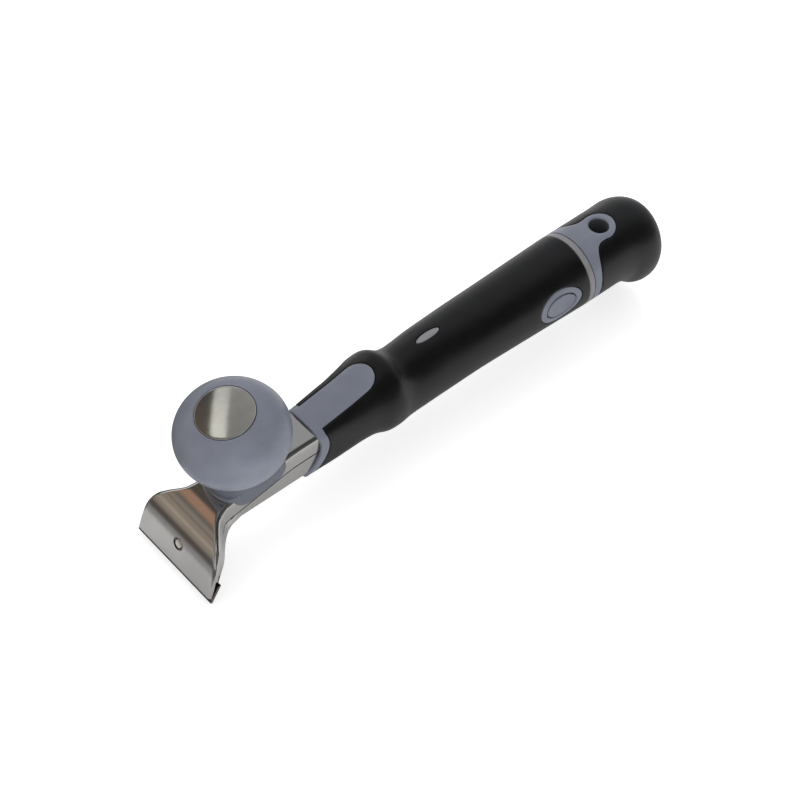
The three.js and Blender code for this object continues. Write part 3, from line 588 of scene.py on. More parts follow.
class Skin:
    """A body of superelliptic sections along X, unrolled to flat (along, around) coordinates."""

    def __init__(self, rows, softness):
        step = SKIN_STEP
        self.x = np.arange(rows[0][0], rows[-1][0] + step / 2, step)
        sizes = [smooth_through([(row[0], row[k]) for row in rows])(self.x) for k in range(1, 5)]
        reach = int(3 * softness / step)
        weights = np.exp(-0.5 * (np.arange(-reach, reach + 1) * step / softness) ** 2)
        weights /= weights.sum()
        self.sizes = [np.convolve(np.pad(c, reach, "edge"), weights, "valid") for c in sizes]
        half, top, bottom = self.sizes[:3]
        size = (half + (top + bottom) / 2) / 2
        lengths = np.hypot(np.diff(self.x), np.diff(size))
        self.along = np.concatenate([[0], np.cumsum(lengths)])

    def section(self, x):
        return [np.interp(x, self.x, size) for size in self.sizes]

    def place(self, x, angle, depth=0.0):
        x, angle = np.broadcast_arrays(np.asarray(x, float), angle)
        half, top, bottom, square = self.section(x)
        y, z = superellipse(angle, half - depth, (top + bottom) / 2 - depth, square)
        return columns(x, y, (top - bottom) / 2 + z)

    def rounded(self, seam, edge):
        """Places along a seam, for each (margin, depth) of its edge."""
        return [self.place(*seam(margin), depth) for margin, depth in edge]

    def over(self, x, y, side=1):
        """The angle of the skin's point over (x, y), or under it where side is -1."""
        half, top, bottom, square = self.section(x)
        share = np.clip(np.abs(y) / half, 0, 1)
        rise = (top + bottom) / 2 * (1 - share**square) ** (1 / square)
        return np.arctan2(side * rise, y)

    def flat(self, x, angle):
        return columns(np.interp(x, self.x, self.along), FLAT_RADIUS * angle)

    def unrolled(self, points):
        return np.interp(points[:, 0], self.along, self.x), points[:, 1] / FLAT_RADIUS


def spread(surface, skin, loops, step, depth=lambda x: 0 * x, shape=lambda places: places):
    """Covers the region inside the (x, angle) loops, at a depth under the skin that may vary with x."""
    points, faces = filled([skin.flat(*loop) for loop in loops], step)
    x, angle = skin.unrolled(points)
    surface.add(shape(skin.place(x, angle, depth(x))), faces)


def banded(front, rear, step, skin):
    """The closed (x, angle) loop between two lines that run once round the skin."""
    (front_x, front_angle), (rear_x, rear_angle) = front, rear
    length = abs(np.diff(skin.flat(np.array([rear_x[0], front_x[0]]), 0.0)[:, 0])[0])
    between = np.linspace(rear_x[0], front_x[0], max(int(length / step), 1) + 1)[1:-1]
    x = np.concatenate([front_x, between[::-1], rear_x[::-1], between])
    last = np.full(len(between), front_angle[-1])
    first = np.full(len(between), front_angle[0])
    return x, np.concatenate([front_angle, last, rear_angle[::-1], first])


def circle(x, radius, turn):
    return columns(x, radius * np.cos(turn), radius * np.sin(turn))


# Handle

rim = (RIM_RADIUS, RIM_RADIUS, RIM_RADIUS, 2)
collar = (
    neck_half + PLAY + COLLAR_WALL,
    NECK_TOP + PLAY + COLLAR_WALL,
    -(neck_bottom - JAW_ROOM - COLLAR_WALL),
    COLLAR_SQUARENESS,
)
barrel_rows = [
    (-RIM_WIDTH, *rim),
    (0, *rim),
    *[(HANDLE_REACH - back, *sizes) for back, *sizes in BARREL],
    (HANDLE_REACH, *collar),
    (HANDLE_REACH + COLLAR_SWEEP + COLLAR_BAND, *collar),
]
barrel = Skin(barrel_rows, BARREL_SOFTNESS)
full_turn = np.linspace(-PI / 2, 1.5 * PI, TURN_STEPS + 1)  # from underneath, round by +Y
oval = np.linspace(0, 2 * PI, OVAL_STEPS, endpoint=False)


def grip_wall(x):
    return mix(GRIP_WALL, GRIP_EDGE, smooth_step(x, tongue_end, pivot_x))


def grip_bed(x):
    return grip_wall(x) - GAP


def collar_line(angle, shift):
    """The x of the collar's swept front edge at each angle, moved along X by shift."""
    x = np.full(np.shape(angle), HANDLE_REACH + shift)
    for _ in range(SETTLE_ROUNDS):
        z = barrel.place(x, angle)[..., 2]
        t = np.clip((z - neck_bottom) / NECK_HEIGHT, 0, 1)
        x = HANDLE_REACH + shift + (1 - t) ** 2 * COLLAR_SWEEP - 2 * t * (1 - t) * COLLAR_BACK
    return x


def mouth_seam(shift):
    return collar_line(full_turn, shift), full_turn


def tongue_seam(margin):
    """Where the grip meets the collar and the tongue, margin away on the grip's side."""
    half = TONGUE_WIDTH / 2 + margin
    round_x = tongue_end + TONGUE_WIDTH / 2
    corner_x = HANDLE_REACH - COLLAR_BAND - margin
    side = np.linspace(-PI / 2, barrel.over(corner_x, half), SEAM_STEPS)
    arc = np.linspace(PI / 2, PI, ARC_STEPS)[1:]
    run = np.linspace(corner_x, round_x, SIDE_STEPS)[1:]
    plan_x = np.concatenate([run, round_x + half * np.cos(arc)])
    plan_y = np.concatenate([np.full(len(run), half), half * np.sin(arc)])
    x = np.concatenate([collar_line(side, -COLLAR_BAND - margin), plan_x])
    angle = np.concatenate([side, barrel.over(plan_x, plan_y)])
    return np.concatenate([x, x[-2::-1]]), np.concatenate([angle, PI - angle[-2::-1]])


def mark_seam(margin):
    x = MARK_AT + (MARK_LENGTH / 2 + margin) * np.cos(oval)
    return x, barrel.over(x, (MARK_WIDTH / 2 + margin) * np.sin(oval))


def rear_seam(margin):
    return np.full(len(full_turn), float(margin)), full_turn


def facing(x, height):
    """The angle on the skin where its height, seen along the button's axis, is as given."""
    low = np.full(np.shape(x), BUTTON_TURN - BUTTON_VIEW)
    high = np.full(np.shape(x), BUTTON_TURN + BUTTON_VIEW)
    for _ in range(HALVINGS):
        middle = (low + high) / 2
        point = barrel.place(x, middle)
        under = point[..., 2] * math.cos(BUTTON_TURN) - point[..., 1] * math.sin(BUTTON_TURN) < height
        low, high = np.where(under, middle, low), np.where(under, high, middle)
    return (low + high) / 2


def oval_seam(length, width):
    x = BUTTON_AT + length / 2 * np.cos(oval)
    return x, facing(x, width / 2 * np.sin(oval))


def bezel_seam(margin):
    return oval_seam(BEZEL_LENGTH + 2 * margin, BEZEL_WIDTH + 2 * margin)


def button_seam(margin):
    return oval_seam(BUTTON_LENGTH + 2 * margin, BUTTON_WIDTH + 2 * margin)


def turned_out(seam, height):
    """A seam's points, sunk along the button's axis to a height over the handle's axis."""
    point = barrel.place(*seam)
    out = np.array([0, math.cos(BUTTON_TURN), math.sin(BUTTON_TURN)])
    drop = np.maximum(point @ out - height, 0)
    return point - drop[:, None] * out


def grip_region(margin, step):
    around = banded(tongue_seam(margin), rear_seam(margin), step, barrel)
    return [around, mark_seam(margin), bezel_seam(margin)]


def grip_walls(surface, seams, edge, margin, floor):
    """Rounded edges along the seams, and walls from there down to the floor."""
    for seam in seams:
        x, angle = seam(margin)
        rings = [*barrel.rounded(seam, edge), barrel.place(x, angle, floor(x))]
        surface.strip(rings, seam in (mark_seam, bezel_seam))


def handle_grip():
    surface = Surface()
    edge = roundover(GAP, GRIP_ROUND)
    spread(surface, barrel, grip_region(edge[0][0], GRIP_STEP), GRIP_STEP)
    spread(surface, barrel, grip_region(GAP, CORE_STEP), CORE_STEP, grip_bed)
    grip_walls(surface, (tongue_seam, rear_seam, mark_seam, bezel_seam), edge, GAP, grip_bed)
    return surface.mesh("handle_grip", in_tool)


def core_mark(surface, inset):
    """The oval of hard plastic that shows through the grip's top."""
    x, angle = mark_seam(inset)
    rings = [barrel.place(x, angle)]
    for share in (0.75, 0.5, 0.25):
        inner_x = MARK_AT + share * (x - MARK_AT)
        rings.append(barrel.place(inner_x, barrel.over(inner_x, share * rings[0][:, 1])))
    surface.strip(rings, True)
    surface.fan(rings[-1], barrel.place([MARK_AT], PI / 2))


def socket_ring(x, bottom):
    top = NECK_TOP + PLAY
    y, z = superellipse(full_turn, neck_half + PLAY, (top - bottom) / 2, COLLAR_SQUARENESS)
    return columns(x, y, (top + bottom) / 2 + z)


def core_socket(surface, edge):
    """The collar's mouth, and the socket that narrows towards the jaw's heel."""
    closer = COLLAR_LIP * smooth_step(np.sin(full_turn), *COLLAR_LIP_FADE)
    rings = [*barrel.rounded(mouth_seam, edge), barrel.place(*mouth_seam(0), COLLAR_WALL + closer)]
    low = neck_bottom - JAW_ROOM
    for x in np.linspace(HANDLE_REACH - COLLAR_SWEEP, HANDLE_REACH - TANG_LENGTH - PLAY, SOCKET_STEPS):
        bottom = low + (heel_x - x) * math.tan(JAW_HEEL_RISE)
        rings.append(socket_ring(x, min(max(bottom, low), heel_top)))
    surface.strip(rings)
    surface.fan(rings[-1][:-1], rings[-1].mean(0))


def core_pocket(surface):
    """The button's pocket under the bezel."""
    mouth = button_seam(BUTTON_SKIRT + PLAY)
    rings = [
        barrel.place(*bezel_seam(0), GRIP_WALL),
        barrel.place(*mouth, GRIP_WALL + POCKET_STEP),
        turned_out(mouth, pocket_floor),
    ]
    surface.strip(rings, True)
    surface.fan(rings[-1], rings[-1].mean(0))


def core_bores(surface):
    """The rear face, and the bores for the end cap's spigot and latch stud."""
    spigot, stud = SPIGOT_RADIUS + PLAY, LATCH_STUD_RADIUS + PLAY
    spigot_end = parting_x + SPIGOT_LENGTH + PLAY
    stud_end = parting_x + spigot_outline()[-1][1] + PLAY
    steps = [(0, spigot), (spigot_end, spigot), (spigot_end, stud), (stud_end, stud)]
    rings = [barrel.place(0, full_turn, GRIP_WALL)]
    rings += [circle(x, radius, full_turn) for x, radius in steps]
    surface.strip(rings)
    surface.fan(rings[-1][:-1], [stud_end, 0, 0])


def handle_core():
    surface = Surface()
    edge = roundover(0, CORE_ROUND, -1)
    inset = edge[0][0]
    spread(surface, barrel, grip_region(0, CORE_STEP), CORE_STEP, grip_wall)
    shown = banded(mouth_seam(inset), tongue_seam(inset), SHOWN_STEP, barrel)
    spread(surface, barrel, [shown], GRIP_STEP)
    grip_walls(surface, (tongue_seam, mark_seam), edge, 0, grip_wall)
    core_mark(surface, inset)
    core_socket(surface, edge)
    core_pocket(surface)
    core_bores(surface)
    pivot_hole = cross_hole(pivot_x, -PIVOT_DROP, pin_half + PIN_FIT)
    tang_hole = cross_hole(tang_pin_x, TANG_PIN_RISE, pin_half + PIN_FIT)
    return cut(surface.mesh("handle_core", in_tool), latch_slot(), spring_well(), pivot_hole, tang_hole)


def rear_rim():
    """The ring at the handle's rear end, more rounded towards the end cap."""
    inner = SPIGOT_RADIUS + PLAY
    front = [(RIM_RADIUS - CORE_ROUND + s, c - CORE_ROUND) for c, s in quarter(CORE_ROUND)]
    rear = [(RIM_RADIUS - RIM_ROUND + c, RIM_ROUND - RIM_WIDTH - s) for c, s in quarter(RIM_ROUND)]
    outline = [(inner, -RIM_WIDTH), (inner, 0), *front, *rear]
    return lathe(outline, "rear_rim", lambda p: in_tool(p[:, [2, 0, 1]]), TURN_STEPS)


# Button and latch

button_face = barrel.section(BUTTON_AT)[0]
bezel_bottom = button_face - BEZEL_THICKNESS
skirt_top = bezel_bottom - GAP
skirt_bottom = skirt_top - BUTTON_SKIRT
pocket_floor = skirt_bottom - BUTTON_TRAVEL - PLAY
latch_opening = LATCH_STUD_RADIUS + PLAY
latch_middle = BUTTON_TRAVEL - PIN_FIT / 2
latch_bottom = latch_middle - latch_opening - LATCH_RIM


def in_latch(points):
    """The latch's own frame: x along the handle, y across the button and z out of its face."""
    x, across, out = points.T
    c, s = math.cos(BUTTON_TURN), math.sin(BUTTON_TURN)
    return in_tool(columns(x, out * c - across * s, out * s + across * c))


def latch_slot():
    thin = LATCH_THICKNESS / 2 + PLAY
    low, high = latch_bottom - BUTTON_TRAVEL - PLAY, pocket_floor + GAP
    rear, front = BUTTON_AT - thin, BUTTON_AT + thin
    section = [(rear, low), (front, low), (front, high), (rear, high)]
    return prism(section, latch_opening + LATCH_RIM - GAP + PLAY, in_latch)


def spring_well():
    floor = latch_bottom - SPRING_LENGTH - 2 * GAP

    def place(points):
        return in_latch(points + [BUTTON_AT, 0, 0])

    return rod(SPRING_RADIUS + PLAY, floor, latch_bottom, place, WELL_TURN)


def button_bezel():
    outer, inner = bezel_seam(-CORE_ROUND), button_seam(PLAY + CORE_ROUND)
    rings = [
        turned_out(bezel_seam(0), bezel_bottom),
        *barrel.rounded(bezel_seam, roundover(0, CORE_ROUND, -1)[::-1]),
        *[barrel.place(*[mix(a, b, share) for a, b in zip(outer, inner)]) for share in (0.33, 0.67)],
        *barrel.rounded(button_seam, roundover(PLAY, CORE_ROUND)),
        turned_out(button_seam(PLAY), bezel_bottom),
    ]
    return tube("button_bezel", [*rings, rings[0]], in_tool)


def release_button():
    slack = BUTTON_GAP - PLAY
    skirt = button_seam(BUTTON_SKIRT)
    rings = [turned_out(skirt, skirt_bottom), turned_out(skirt, skirt_top)]
    rings.append(turned_out(button_seam(-slack), skirt_top))
    for margin, depth in roundover(0, BUTTON_ROUND, -1)[::-1]:
        rings.append(barrel.place(*button_seam(margin - slack), depth - BUTTON_PROUD))
    x, angle = button_seam(-BUTTON_ROUND - slack)
    middle = facing(np.array([BUTTON_AT]), 0)
    for share in (0.92, *INWARD):
        dish = BUTTON_DISH * (1 - share * share)
        rings.append(barrel.place(mix(BUTTON_AT, x, share), mix(middle, angle, share), dish - BUTTON_PROUD))
    surface = Surface()
    surface.strip(rings, True)
    surface.fan(rings[0], rings[0].mean(0))
    surface.fan(rings[-1], barrel.place([BUTTON_AT], middle, BUTTON_DISH - BUTTON_PROUD))
    return surface.mesh("release_button", in_tool)


# End cap

pommel_rows = [(parting_x, *rim), *[(parting_x - back, *sizes, 2) for back, *sizes in POMMEL]]
pommel = Skin(pommel_rows[::-1], POMMEL_SOFTNESS)
cap_end = pommel.x[0]
side_turn = np.linspace(-PI, PI, TURN_STEPS + 1)  # from the -Y side, underneath first
eyelet_share = math.sqrt(1 - (HANG_HOLE / pommel.section(hang_x)[0]) ** 2)
eyelet_top, eyelet_bottom = [eyelet_share * size for size in pommel.section(hang_x)[1:3]]


def web_seam(margin):
    """Where the cap's grip meets its ring, webs and eyelets, margin away on the grip's side."""
    ring_x = parting_x - CAP_RING
    half = WEB_HALF + margin
    radius = EYELET_RADIUS + margin
    join = math.sqrt(radius**2 - half**2)
    t = np.linspace(0, 1, WEB_STEPS)
    web_end = hang_x + HANG_HOLE
    run = np.linspace(web_end, hang_x + join, RUN_STEPS)[1:-1]
    arc = np.linspace(math.atan2(half, join), PI, EYELET_STEPS)
    curve_x = bezier(t, ring_x - margin, ring_x - CAP_RING / 2 - margin, web_end)
    x = np.concatenate([curve_x, run, hang_x + radius * np.cos(arc)])
    y = np.concatenate([bezier(t, RIM_RADIUS, half, half), np.full(len(run), half), radius * np.sin(arc)])
    y[-1] = 0
    back = slice(-2, None, -1)
    under = [pommel.over(x, -y, -1), pommel.over(x[back], y[back], -1)]
    upper = [pommel.over(x[1:], y[1:]), pommel.over(x[back], -y[back])]
    return np.concatenate([x, x[back], x[1:], x[back]]), np.concatenate([*under, *upper])


def hang_seam(margin, side):
    radius = HANG_HOLE + margin
    x = hang_x + radius * np.cos(oval)
    return x, pommel.over(x, radius * np.sin(oval), side)


def eyelet_flat(points, depth=0.0):
    """Flattens the skin round the hang hole."""
    points = points.copy()
    away = np.hypot(points[:, 0] - hang_x, points[:, 1])
    share = 1 - smooth_step(away, HANG_HOLE + HANG_ROUND, EYELET_RADIUS)
    level = np.where(points[:, 2] > 0, eyelet_top - depth, -eyelet_bottom + depth)
    points[:, 2] += share * (level - points[:, 2])
    return points


def end_line(x):
    return np.full(len(side_turn), float(x)), side_turn


def front_seam(margin):
    return end_line(parting_x + margin)


def cap_shell(surface, margin, wall):
    """The inside of the cap's grip, or the core under it: the wall all round and the end."""
    end = end_line(cap_end + wall)
    loop = banded(web_seam(margin), end, CORE_STEP, pommel)
    spread(surface, pommel, [loop], CORE_STEP, lambda x: 0 * x + wall)
    last = pommel.place(*end, wall)[:-1]
    surface.fan(last, last.mean(0))


def cap_grip():
    surface = Surface()
    edge = roundover(GAP, GRIP_ROUND)
    wall = CAP_WALL - GAP
    outer = banded(web_seam(edge[0][0]), end_line(cap_end), GRIP_STEP, pommel)
    spread(surface, pommel, [outer], GRIP_STEP)
    cap_shell(surface, GAP, wall)
    surface.strip([*pommel.rounded(web_seam, edge), pommel.place(*web_seam(GAP), wall)])
    last = pommel.place(*end_line(cap_end))
    middle = last[:-1].mean(0)
    ends = [middle + share * (last - middle) for share in (1, 0.93, *INWARD)]
    surface.strip(ends)
    surface.fan(ends[-1][:-1], middle)
    return surface.mesh("cap_grip", in_tool)


def spigot_outline():
    """(radius, distance in front of the parting line) of the spigot and the latch stud."""
    front = RIM_WIDTH + GAP + BUTTON_AT - LATCH_THICKNESS / 2 - PLAY
    back = front + LATCH_THICKNESS + 2 * PLAY
    groove = latch_opening - latch_middle - PLAY
    tip = back + LATCH_HEAD
    lead = LATCH_HEAD / 3
    return [
        (SPIGOT_RADIUS, 0),
        (SPIGOT_RADIUS, SPIGOT_LENGTH - SPIGOT_CHAMFER),
        (SPIGOT_RADIUS - SPIGOT_CHAMFER, SPIGOT_LENGTH),
        (LATCH_STUD_RADIUS, SPIGOT_LENGTH),
        (LATCH_STUD_RADIUS, front),
        (groove, front),
        (groove, back),
        (LATCH_STUD_RADIUS, back),
        (LATCH_STUD_RADIUS, tip - lead),
        (LATCH_STUD_RADIUS - lead, tip),
    ]


def hang_bore(surface):
    """The hang hole's rounded rims, and its wall from both sides to the middle."""
    for side in (1, -1):
        bore = [
            eyelet_flat(pommel.place(*hang_seam(margin, side)), depth)
            for margin, depth in roundover(0, HANG_ROUND)
        ]
        surface.strip([*bore, bore[-1] * [1, 1, 0]], True)


def cap_core():
    surface = Surface()
    edge = roundover(0, CORE_ROUND, -1)
    inset = edge[0][0]
    cap_shell(surface, 0, CAP_WALL)
    shown = banded(front_seam(inset), web_seam(inset), SHOWN_STEP, pommel)
    holes = [hang_seam(HANG_ROUND, side) for side in (1, -1)]
    spread(surface, pommel, [shown, *holes], SHOWN_STEP, shape=eyelet_flat)
    rings = [eyelet_flat(line) for line in pommel.rounded(web_seam, edge)]
    surface.strip([*rings, pommel.place(*web_seam(0), CAP_WALL)])
    hang_bore(surface)
    front = pommel.rounded(front_seam, edge)
    front += [circle(parting_x + reach, radius, side_turn) for radius, reach in spigot_outline()]
    surface.strip(front)
    surface.fan(front[-1][:-1], front[-1][:-1].mean(0))
    return surface.mesh("cap_core", in_tool)


# Head

Station = namedtuple("Station", "x z slope s")  # s is the length along the line


class HeadLine:
    """Stations along the neck's top line, from the tang to the lip's edge."""

    def __init__(self, tang):
        runs = [
            (tang + NECK_LENGTH, 0, 14),
            (SEAT_BEND * SEAT_TILT, SEAT_TILT, 10),
            (SEAT_LENGTH, SEAT_TILT, 16),
            (HEAD_BEND * (LIP_TILT - SEAT_TILT), LIP_TILT, 56),
            (LIP_LENGTH, LIP_TILT, 18),
        ]  # length, tilt at its end, steps
        stations = [Station(HANDLE_REACH - tang, NECK_TOP, 0.0, 0.0)]
        ends = []
        for length, tilt, count in runs:
            turn = (tilt - stations[-1].slope) / count
            chord = length / count * (math.sin(turn / 2) / (turn / 2) if turn else 1)
            for _ in range(count):
                x, z, slope, s = stations[-1]
                middle = slope + turn / 2
                x, z = x + chord * math.cos(middle), z - chord * math.sin(middle)
                stations.append(Station(x, z, slope + turn, s + length / count))
            ends.append(stations[-1])
        self.stations = stations
        self.seat, self.bend, self.lip, self.edge = ends[1:]


line = HeadLine(TANG_LENGTH)
lip_edge_depth = SHEET + (2 * GAP + BLADE_THICKNESS + SHEET) / math.cos(wedge)
depth_at_lip = lip_edge_depth + LIP_LENGTH * math.tan(wedge)
flare_at = smooth_through(FLARE)
jaw_flare_at = smooth_through(JAW_FLARE)
flange_at = smooth_through(FLANGE)


def neck_depth(at):
    return (at.z - neck_bottom) / math.cos(at.slope)


def head_depth(marks, at):
    if at.s <= marks.bend.s:
        return neck_depth(at)
    if at.s >= marks.lip.s:
        return lip_edge_depth + (marks.edge.s - at.s) * math.tan(wedge)
    length = marks.lip.s - marks.bend.s
    t = (at.s - marks.bend.s) / length
    slopes = -math.tan(SEAT_TILT) * length, -math.tan(wedge) * length
    return hermite(t, neck_depth(marks.bend), slopes[0], depth_at_lip, slopes[1])


def flange_depth(marks, s):
    past = s - marks.bend.s
    if past > 0:
        return float(flange_at(past))
    return mix(NECK_FLANGE, FLANGE[0][1], min(max((s - marks.seat.s) / SEAT_LENGTH, 0), 1))


def channel(half, web, leg, corner, splay=0.0):
    """Section of a bent sheet as (across, down) points: the outside first, then the inside back again."""
    way = math.copysign(1, leg - web)

    def path(skin, tip):
        radius = corner - skin
        arc = np.linspace(0, PI / 2, BEND_STEPS)
        y = half - corner + radius * np.cos(arc)
        v = web + way * (corner - radius * np.sin(arc))
        foot = [(half + splay - tip, leg), (half + splay - skin, leg - way * SHEET_EDGE)]
        share = np.array([0.25, 0.5, 0.75])
        wall = zip(mix(half + splay - skin, y[0], share), mix(leg - way * SHEET_EDGE, v[0], share))
        flat = [((half - corner) * share, v[-1]) for share in (0.96, *INWARD)]
        return [*foot, *wall, *zip(y, v), *flat, (0.0, v[-1])]

    outer = path(0, SHEET_EDGE)
    inner = path(SHEET, SHEET - SHEET_EDGE)
    there, back = [[*side, *[(-y, v) for y, v in side[-2::-1]]] for side in (outer, inner)]
    return np.array([*there, *back[::-1]])


def bent_sheet(name, marks, section):
    rings = []
    for at in marks.stations:
        y, v = section(at).T
        rings.append(columns(at.x - v * math.sin(at.slope), y, at.z - v * math.cos(at.slope)))
    surface = Surface()
    surface.strip(rings, True)
    n = len(rings[0])
    sides = [(i, i + 1, n - 2 - i, n - 1 - i) for i in range(n // 2 - 1)]
    surface.add(rings[0], sides)
    surface.add(rings[-1], sides)
    return surface.mesh(name, in_tool)


def flared(marks, s, at_neck, at_lip):
    return mix(at_neck, at_lip, float(flare_at(s - marks.bend.s)))


def upper_shell():
    def section(at):
        half = flared(line, at.s, neck_half, BLADE_WIDTH / 2)
        return channel(half, 0, flange_depth(line, at.s), flared(line, at.s, NECK_CORNER, LIP_CORNER))

    stop_hole = rod(STOP_HOLE, -SHEET - GAP, STOP_HOLE, in_stop)
    stud_hole = rod(STUD_RADIUS + PLAY, -NECK_CORNER, NECK_CORNER, in_knob)
    tang_hole = cross_hole(tang_pin_x, TANG_PIN_RISE, NECK_WIDTH)
    return cut(bent_sheet("upper_shell", line, section), blade_slot(), stop_hole, stud_hole, tang_hole)


def lower_shell():
    marks = HeadLine(JAW_TANG_LENGTH)

    def section(at):
        half = mix(neck_half, BLADE_WIDTH / 2 - JAW_INSET, float(jaw_flare_at(at.s - marks.bend.s)))
        wide = flared(marks, at.s, neck_half, BLADE_WIDTH / 2)
        splay = wide - flared(marks, at.s, 0, max(wide - half, 0)) - half
        leg = flange_depth(marks, at.s) + PARTING
        corner = flared(marks, at.s, JAW_CORNER, LIP_CORNER)
        return channel(half, head_depth(marks, at), leg, corner, splay)

    top_x = heel_x - (heel_top - neck_bottom) / math.tan(JAW_HEEL_RISE)
    far_x, far_z = top_x - NECK_HEIGHT, neck_bottom - NECK_HEIGHT
    corners = [(heel_x, neck_bottom), (top_x, heel_top), (far_x, heel_top), (far_x, far_z), (heel_x, far_z)]
    pivot_hole = cross_hole(pivot_x, -PIVOT_DROP, NECK_WIDTH)
    shell = bent_sheet("lower_shell", marks, section)
    return cut(shell, blade_slot(), prism(corners, NECK_WIDTH), pivot_hole)


# Blade and stop pin

lip_edge = np.array([line.edge.x, line.edge.z])
lip_up = np.array([-math.cos(LIP_TILT), math.sin(LIP_TILT)])
lip_in = np.array([-math.sin(LIP_TILT), -math.cos(LIP_TILT)])
blade_out = np.array([math.sin(BLADE_TILT), math.cos(BLADE_TILT)])
blade_up = np.array([-math.cos(BLADE_TILT), math.sin(BLADE_TILT)])


def in_head(up, depth):
    return lip_edge + up * lip_up + depth * lip_in


def blade_point(up, out):
    return in_head(0, SHEET) + blade_out * (out - GAP - BLADE_THICKNESS) + blade_up * (up - BLADE_REACH)


blade_top = float((blade_point(BLADE_HEIGHT, 0) - lip_edge) @ lip_up)
slot_top = blade_top + SLOT_MARGIN
stop_up = blade_top + STOP_SPARE + STOP_RADIUS


def jaw_face(up):
    return lip_edge_depth + up * math.tan(wedge) - SHEET / math.cos(wedge)


def in_stop(points):
    """The stop pin's own axis is Z, with its visible end at 0 on the lip's face."""
    x, z = in_head(stop_up, 0)
    out = np.array([math.sin(LIP_TILT), 0, math.cos(LIP_TILT)])
    return in_tool(np.array([x, 0, z]) + points @ axes_about(out))


def blade_slot():
    corners = [
        in_head(-SLOT_MARGIN, SHEET - SLOT_SHAVE),
        in_head(-SLOT_MARGIN, jaw_face(-SLOT_MARGIN) + SLOT_SHAVE),
        in_head(slot_top, jaw_face(slot_top) + SLOT_SHAVE),
        in_head(slot_top, SHEET - SLOT_SHAVE),
    ]
    return prism(corners, BLADE_WIDTH)


def blade():
    e = BLADE_EDGE
    bevel, thick, tall = BLADE_BEVEL, BLADE_THICKNESS, BLADE_HEIGHT
    corners = [
        (0, 0),
        (bevel - e, thick - e),
        (bevel + e, thick),
        (tall - bevel - e, thick),
        (tall - bevel + e, thick - e),
        (tall, 0),
    ]
    return prism([blade_point(up, out) for up, out in corners], BLADE_WIDTH / 2, soft=e)


def stop_pin():
    tip = -(jaw_face(stop_up) - GAP - STOP_RADIUS * math.tan(wedge))
    shoulder_top = -SHEET - GAP
    shoulder_bottom = shoulder_top - STOP_SHOULDER_HEIGHT
    outline = [
        (0, tip),
        (STOP_RADIUS, tip),
        (STOP_RADIUS, shoulder_bottom),
        (STOP_SHOULDER, shoulder_bottom),
        (STOP_SHOULDER, shoulder_top),
        (STOP_RADIUS, shoulder_top),
        (STOP_RADIUS, -STOP_DROP),
        *[(STOP_FACE * share, -STOP_DOME * share**2) for share in (1, *INWARD, 0)],
    ]
    return lathe(outline, "stop_pin", in_stop, PIN_TURN)


# Knob

cap_rise = BALL_SEMI_HEIGHT * math.sqrt(1 - (CAP_RADIUS / BALL_RADIUS) ** 2)
ball_middle = KNOB_HEIGHT - cap_rise
ball_bottom = ball_middle - BALL_BASE
foot_top = ball_bottom - WASHER_THICKNESS - 2 * GAP
stud_shoulder = KNOB_HEIGHT - CAP_THICKNESS - 2 * GAP - STUD_HEAD_HEIGHT


def knob_ball():
    lower = -math.asin((BALL_BASE - BALL_ROUND) / BALL_SEMI_HEIGHT)
    upper = math.asin(cap_rise / BALL_SEMI_HEIGHT)
    turn = np.linspace(lower, upper, BALL_STEPS)
    outside = columns(BALL_RADIUS * np.cos(turn), ball_middle + BALL_SEMI_HEIGHT * np.sin(turn))
    start = outside[0]
    under = np.array([start[0] - BALL_UNDER * BALL_ROUND, ball_bottom])
    knee = np.array([start[0] - BALL_KNEE * BALL_ROUND, ball_bottom])
    corner = bezier(np.linspace(0, 1, BEND_STEPS)[:-1, None], under, knee, start)
    bore = STUD_RADIUS + PIN_FIT
    counterbore = STUD_HEAD_RADIUS + PIN_FIT
    mouth = CAP_RADIUS + PIN_FIT
    recess = KNOB_HEIGHT - CAP_THICKNESS - GAP
    outline = [
        (bore, ball_bottom),
        *corner,
        *outside[:-1],
        (mouth + BALL_LIP, KNOB_HEIGHT - BALL_LIP_DROP),
        (mouth, KNOB_HEIGHT - BALL_LIP),
        (mouth, recess),
        (counterbore, recess),
        (counterbore, stud_shoulder - GAP),
        (bore, stud_shoulder - GAP),
    ]
    return lathe(outline, "knob_ball", in_knob, BALL_TURN)


def knob_cap():
    bottom = KNOB_HEIGHT - CAP_THICKNESS
    share = np.linspace(1, 0, SWEEP_STEPS)[1:]
    reach = CAP_RADIUS - CAP_ROUND
    crown = zip(reach * share, KNOB_HEIGHT + CAP_CROWN * (1 - share**2))
    corner = [(reach + c, KNOB_HEIGHT - CAP_ROUND + s) for c, s in quarter(CAP_ROUND)]
    return lathe([(0, bottom), (CAP_RADIUS, bottom), *corner, *crown], "knob_cap", in_knob, CAP_TURN)


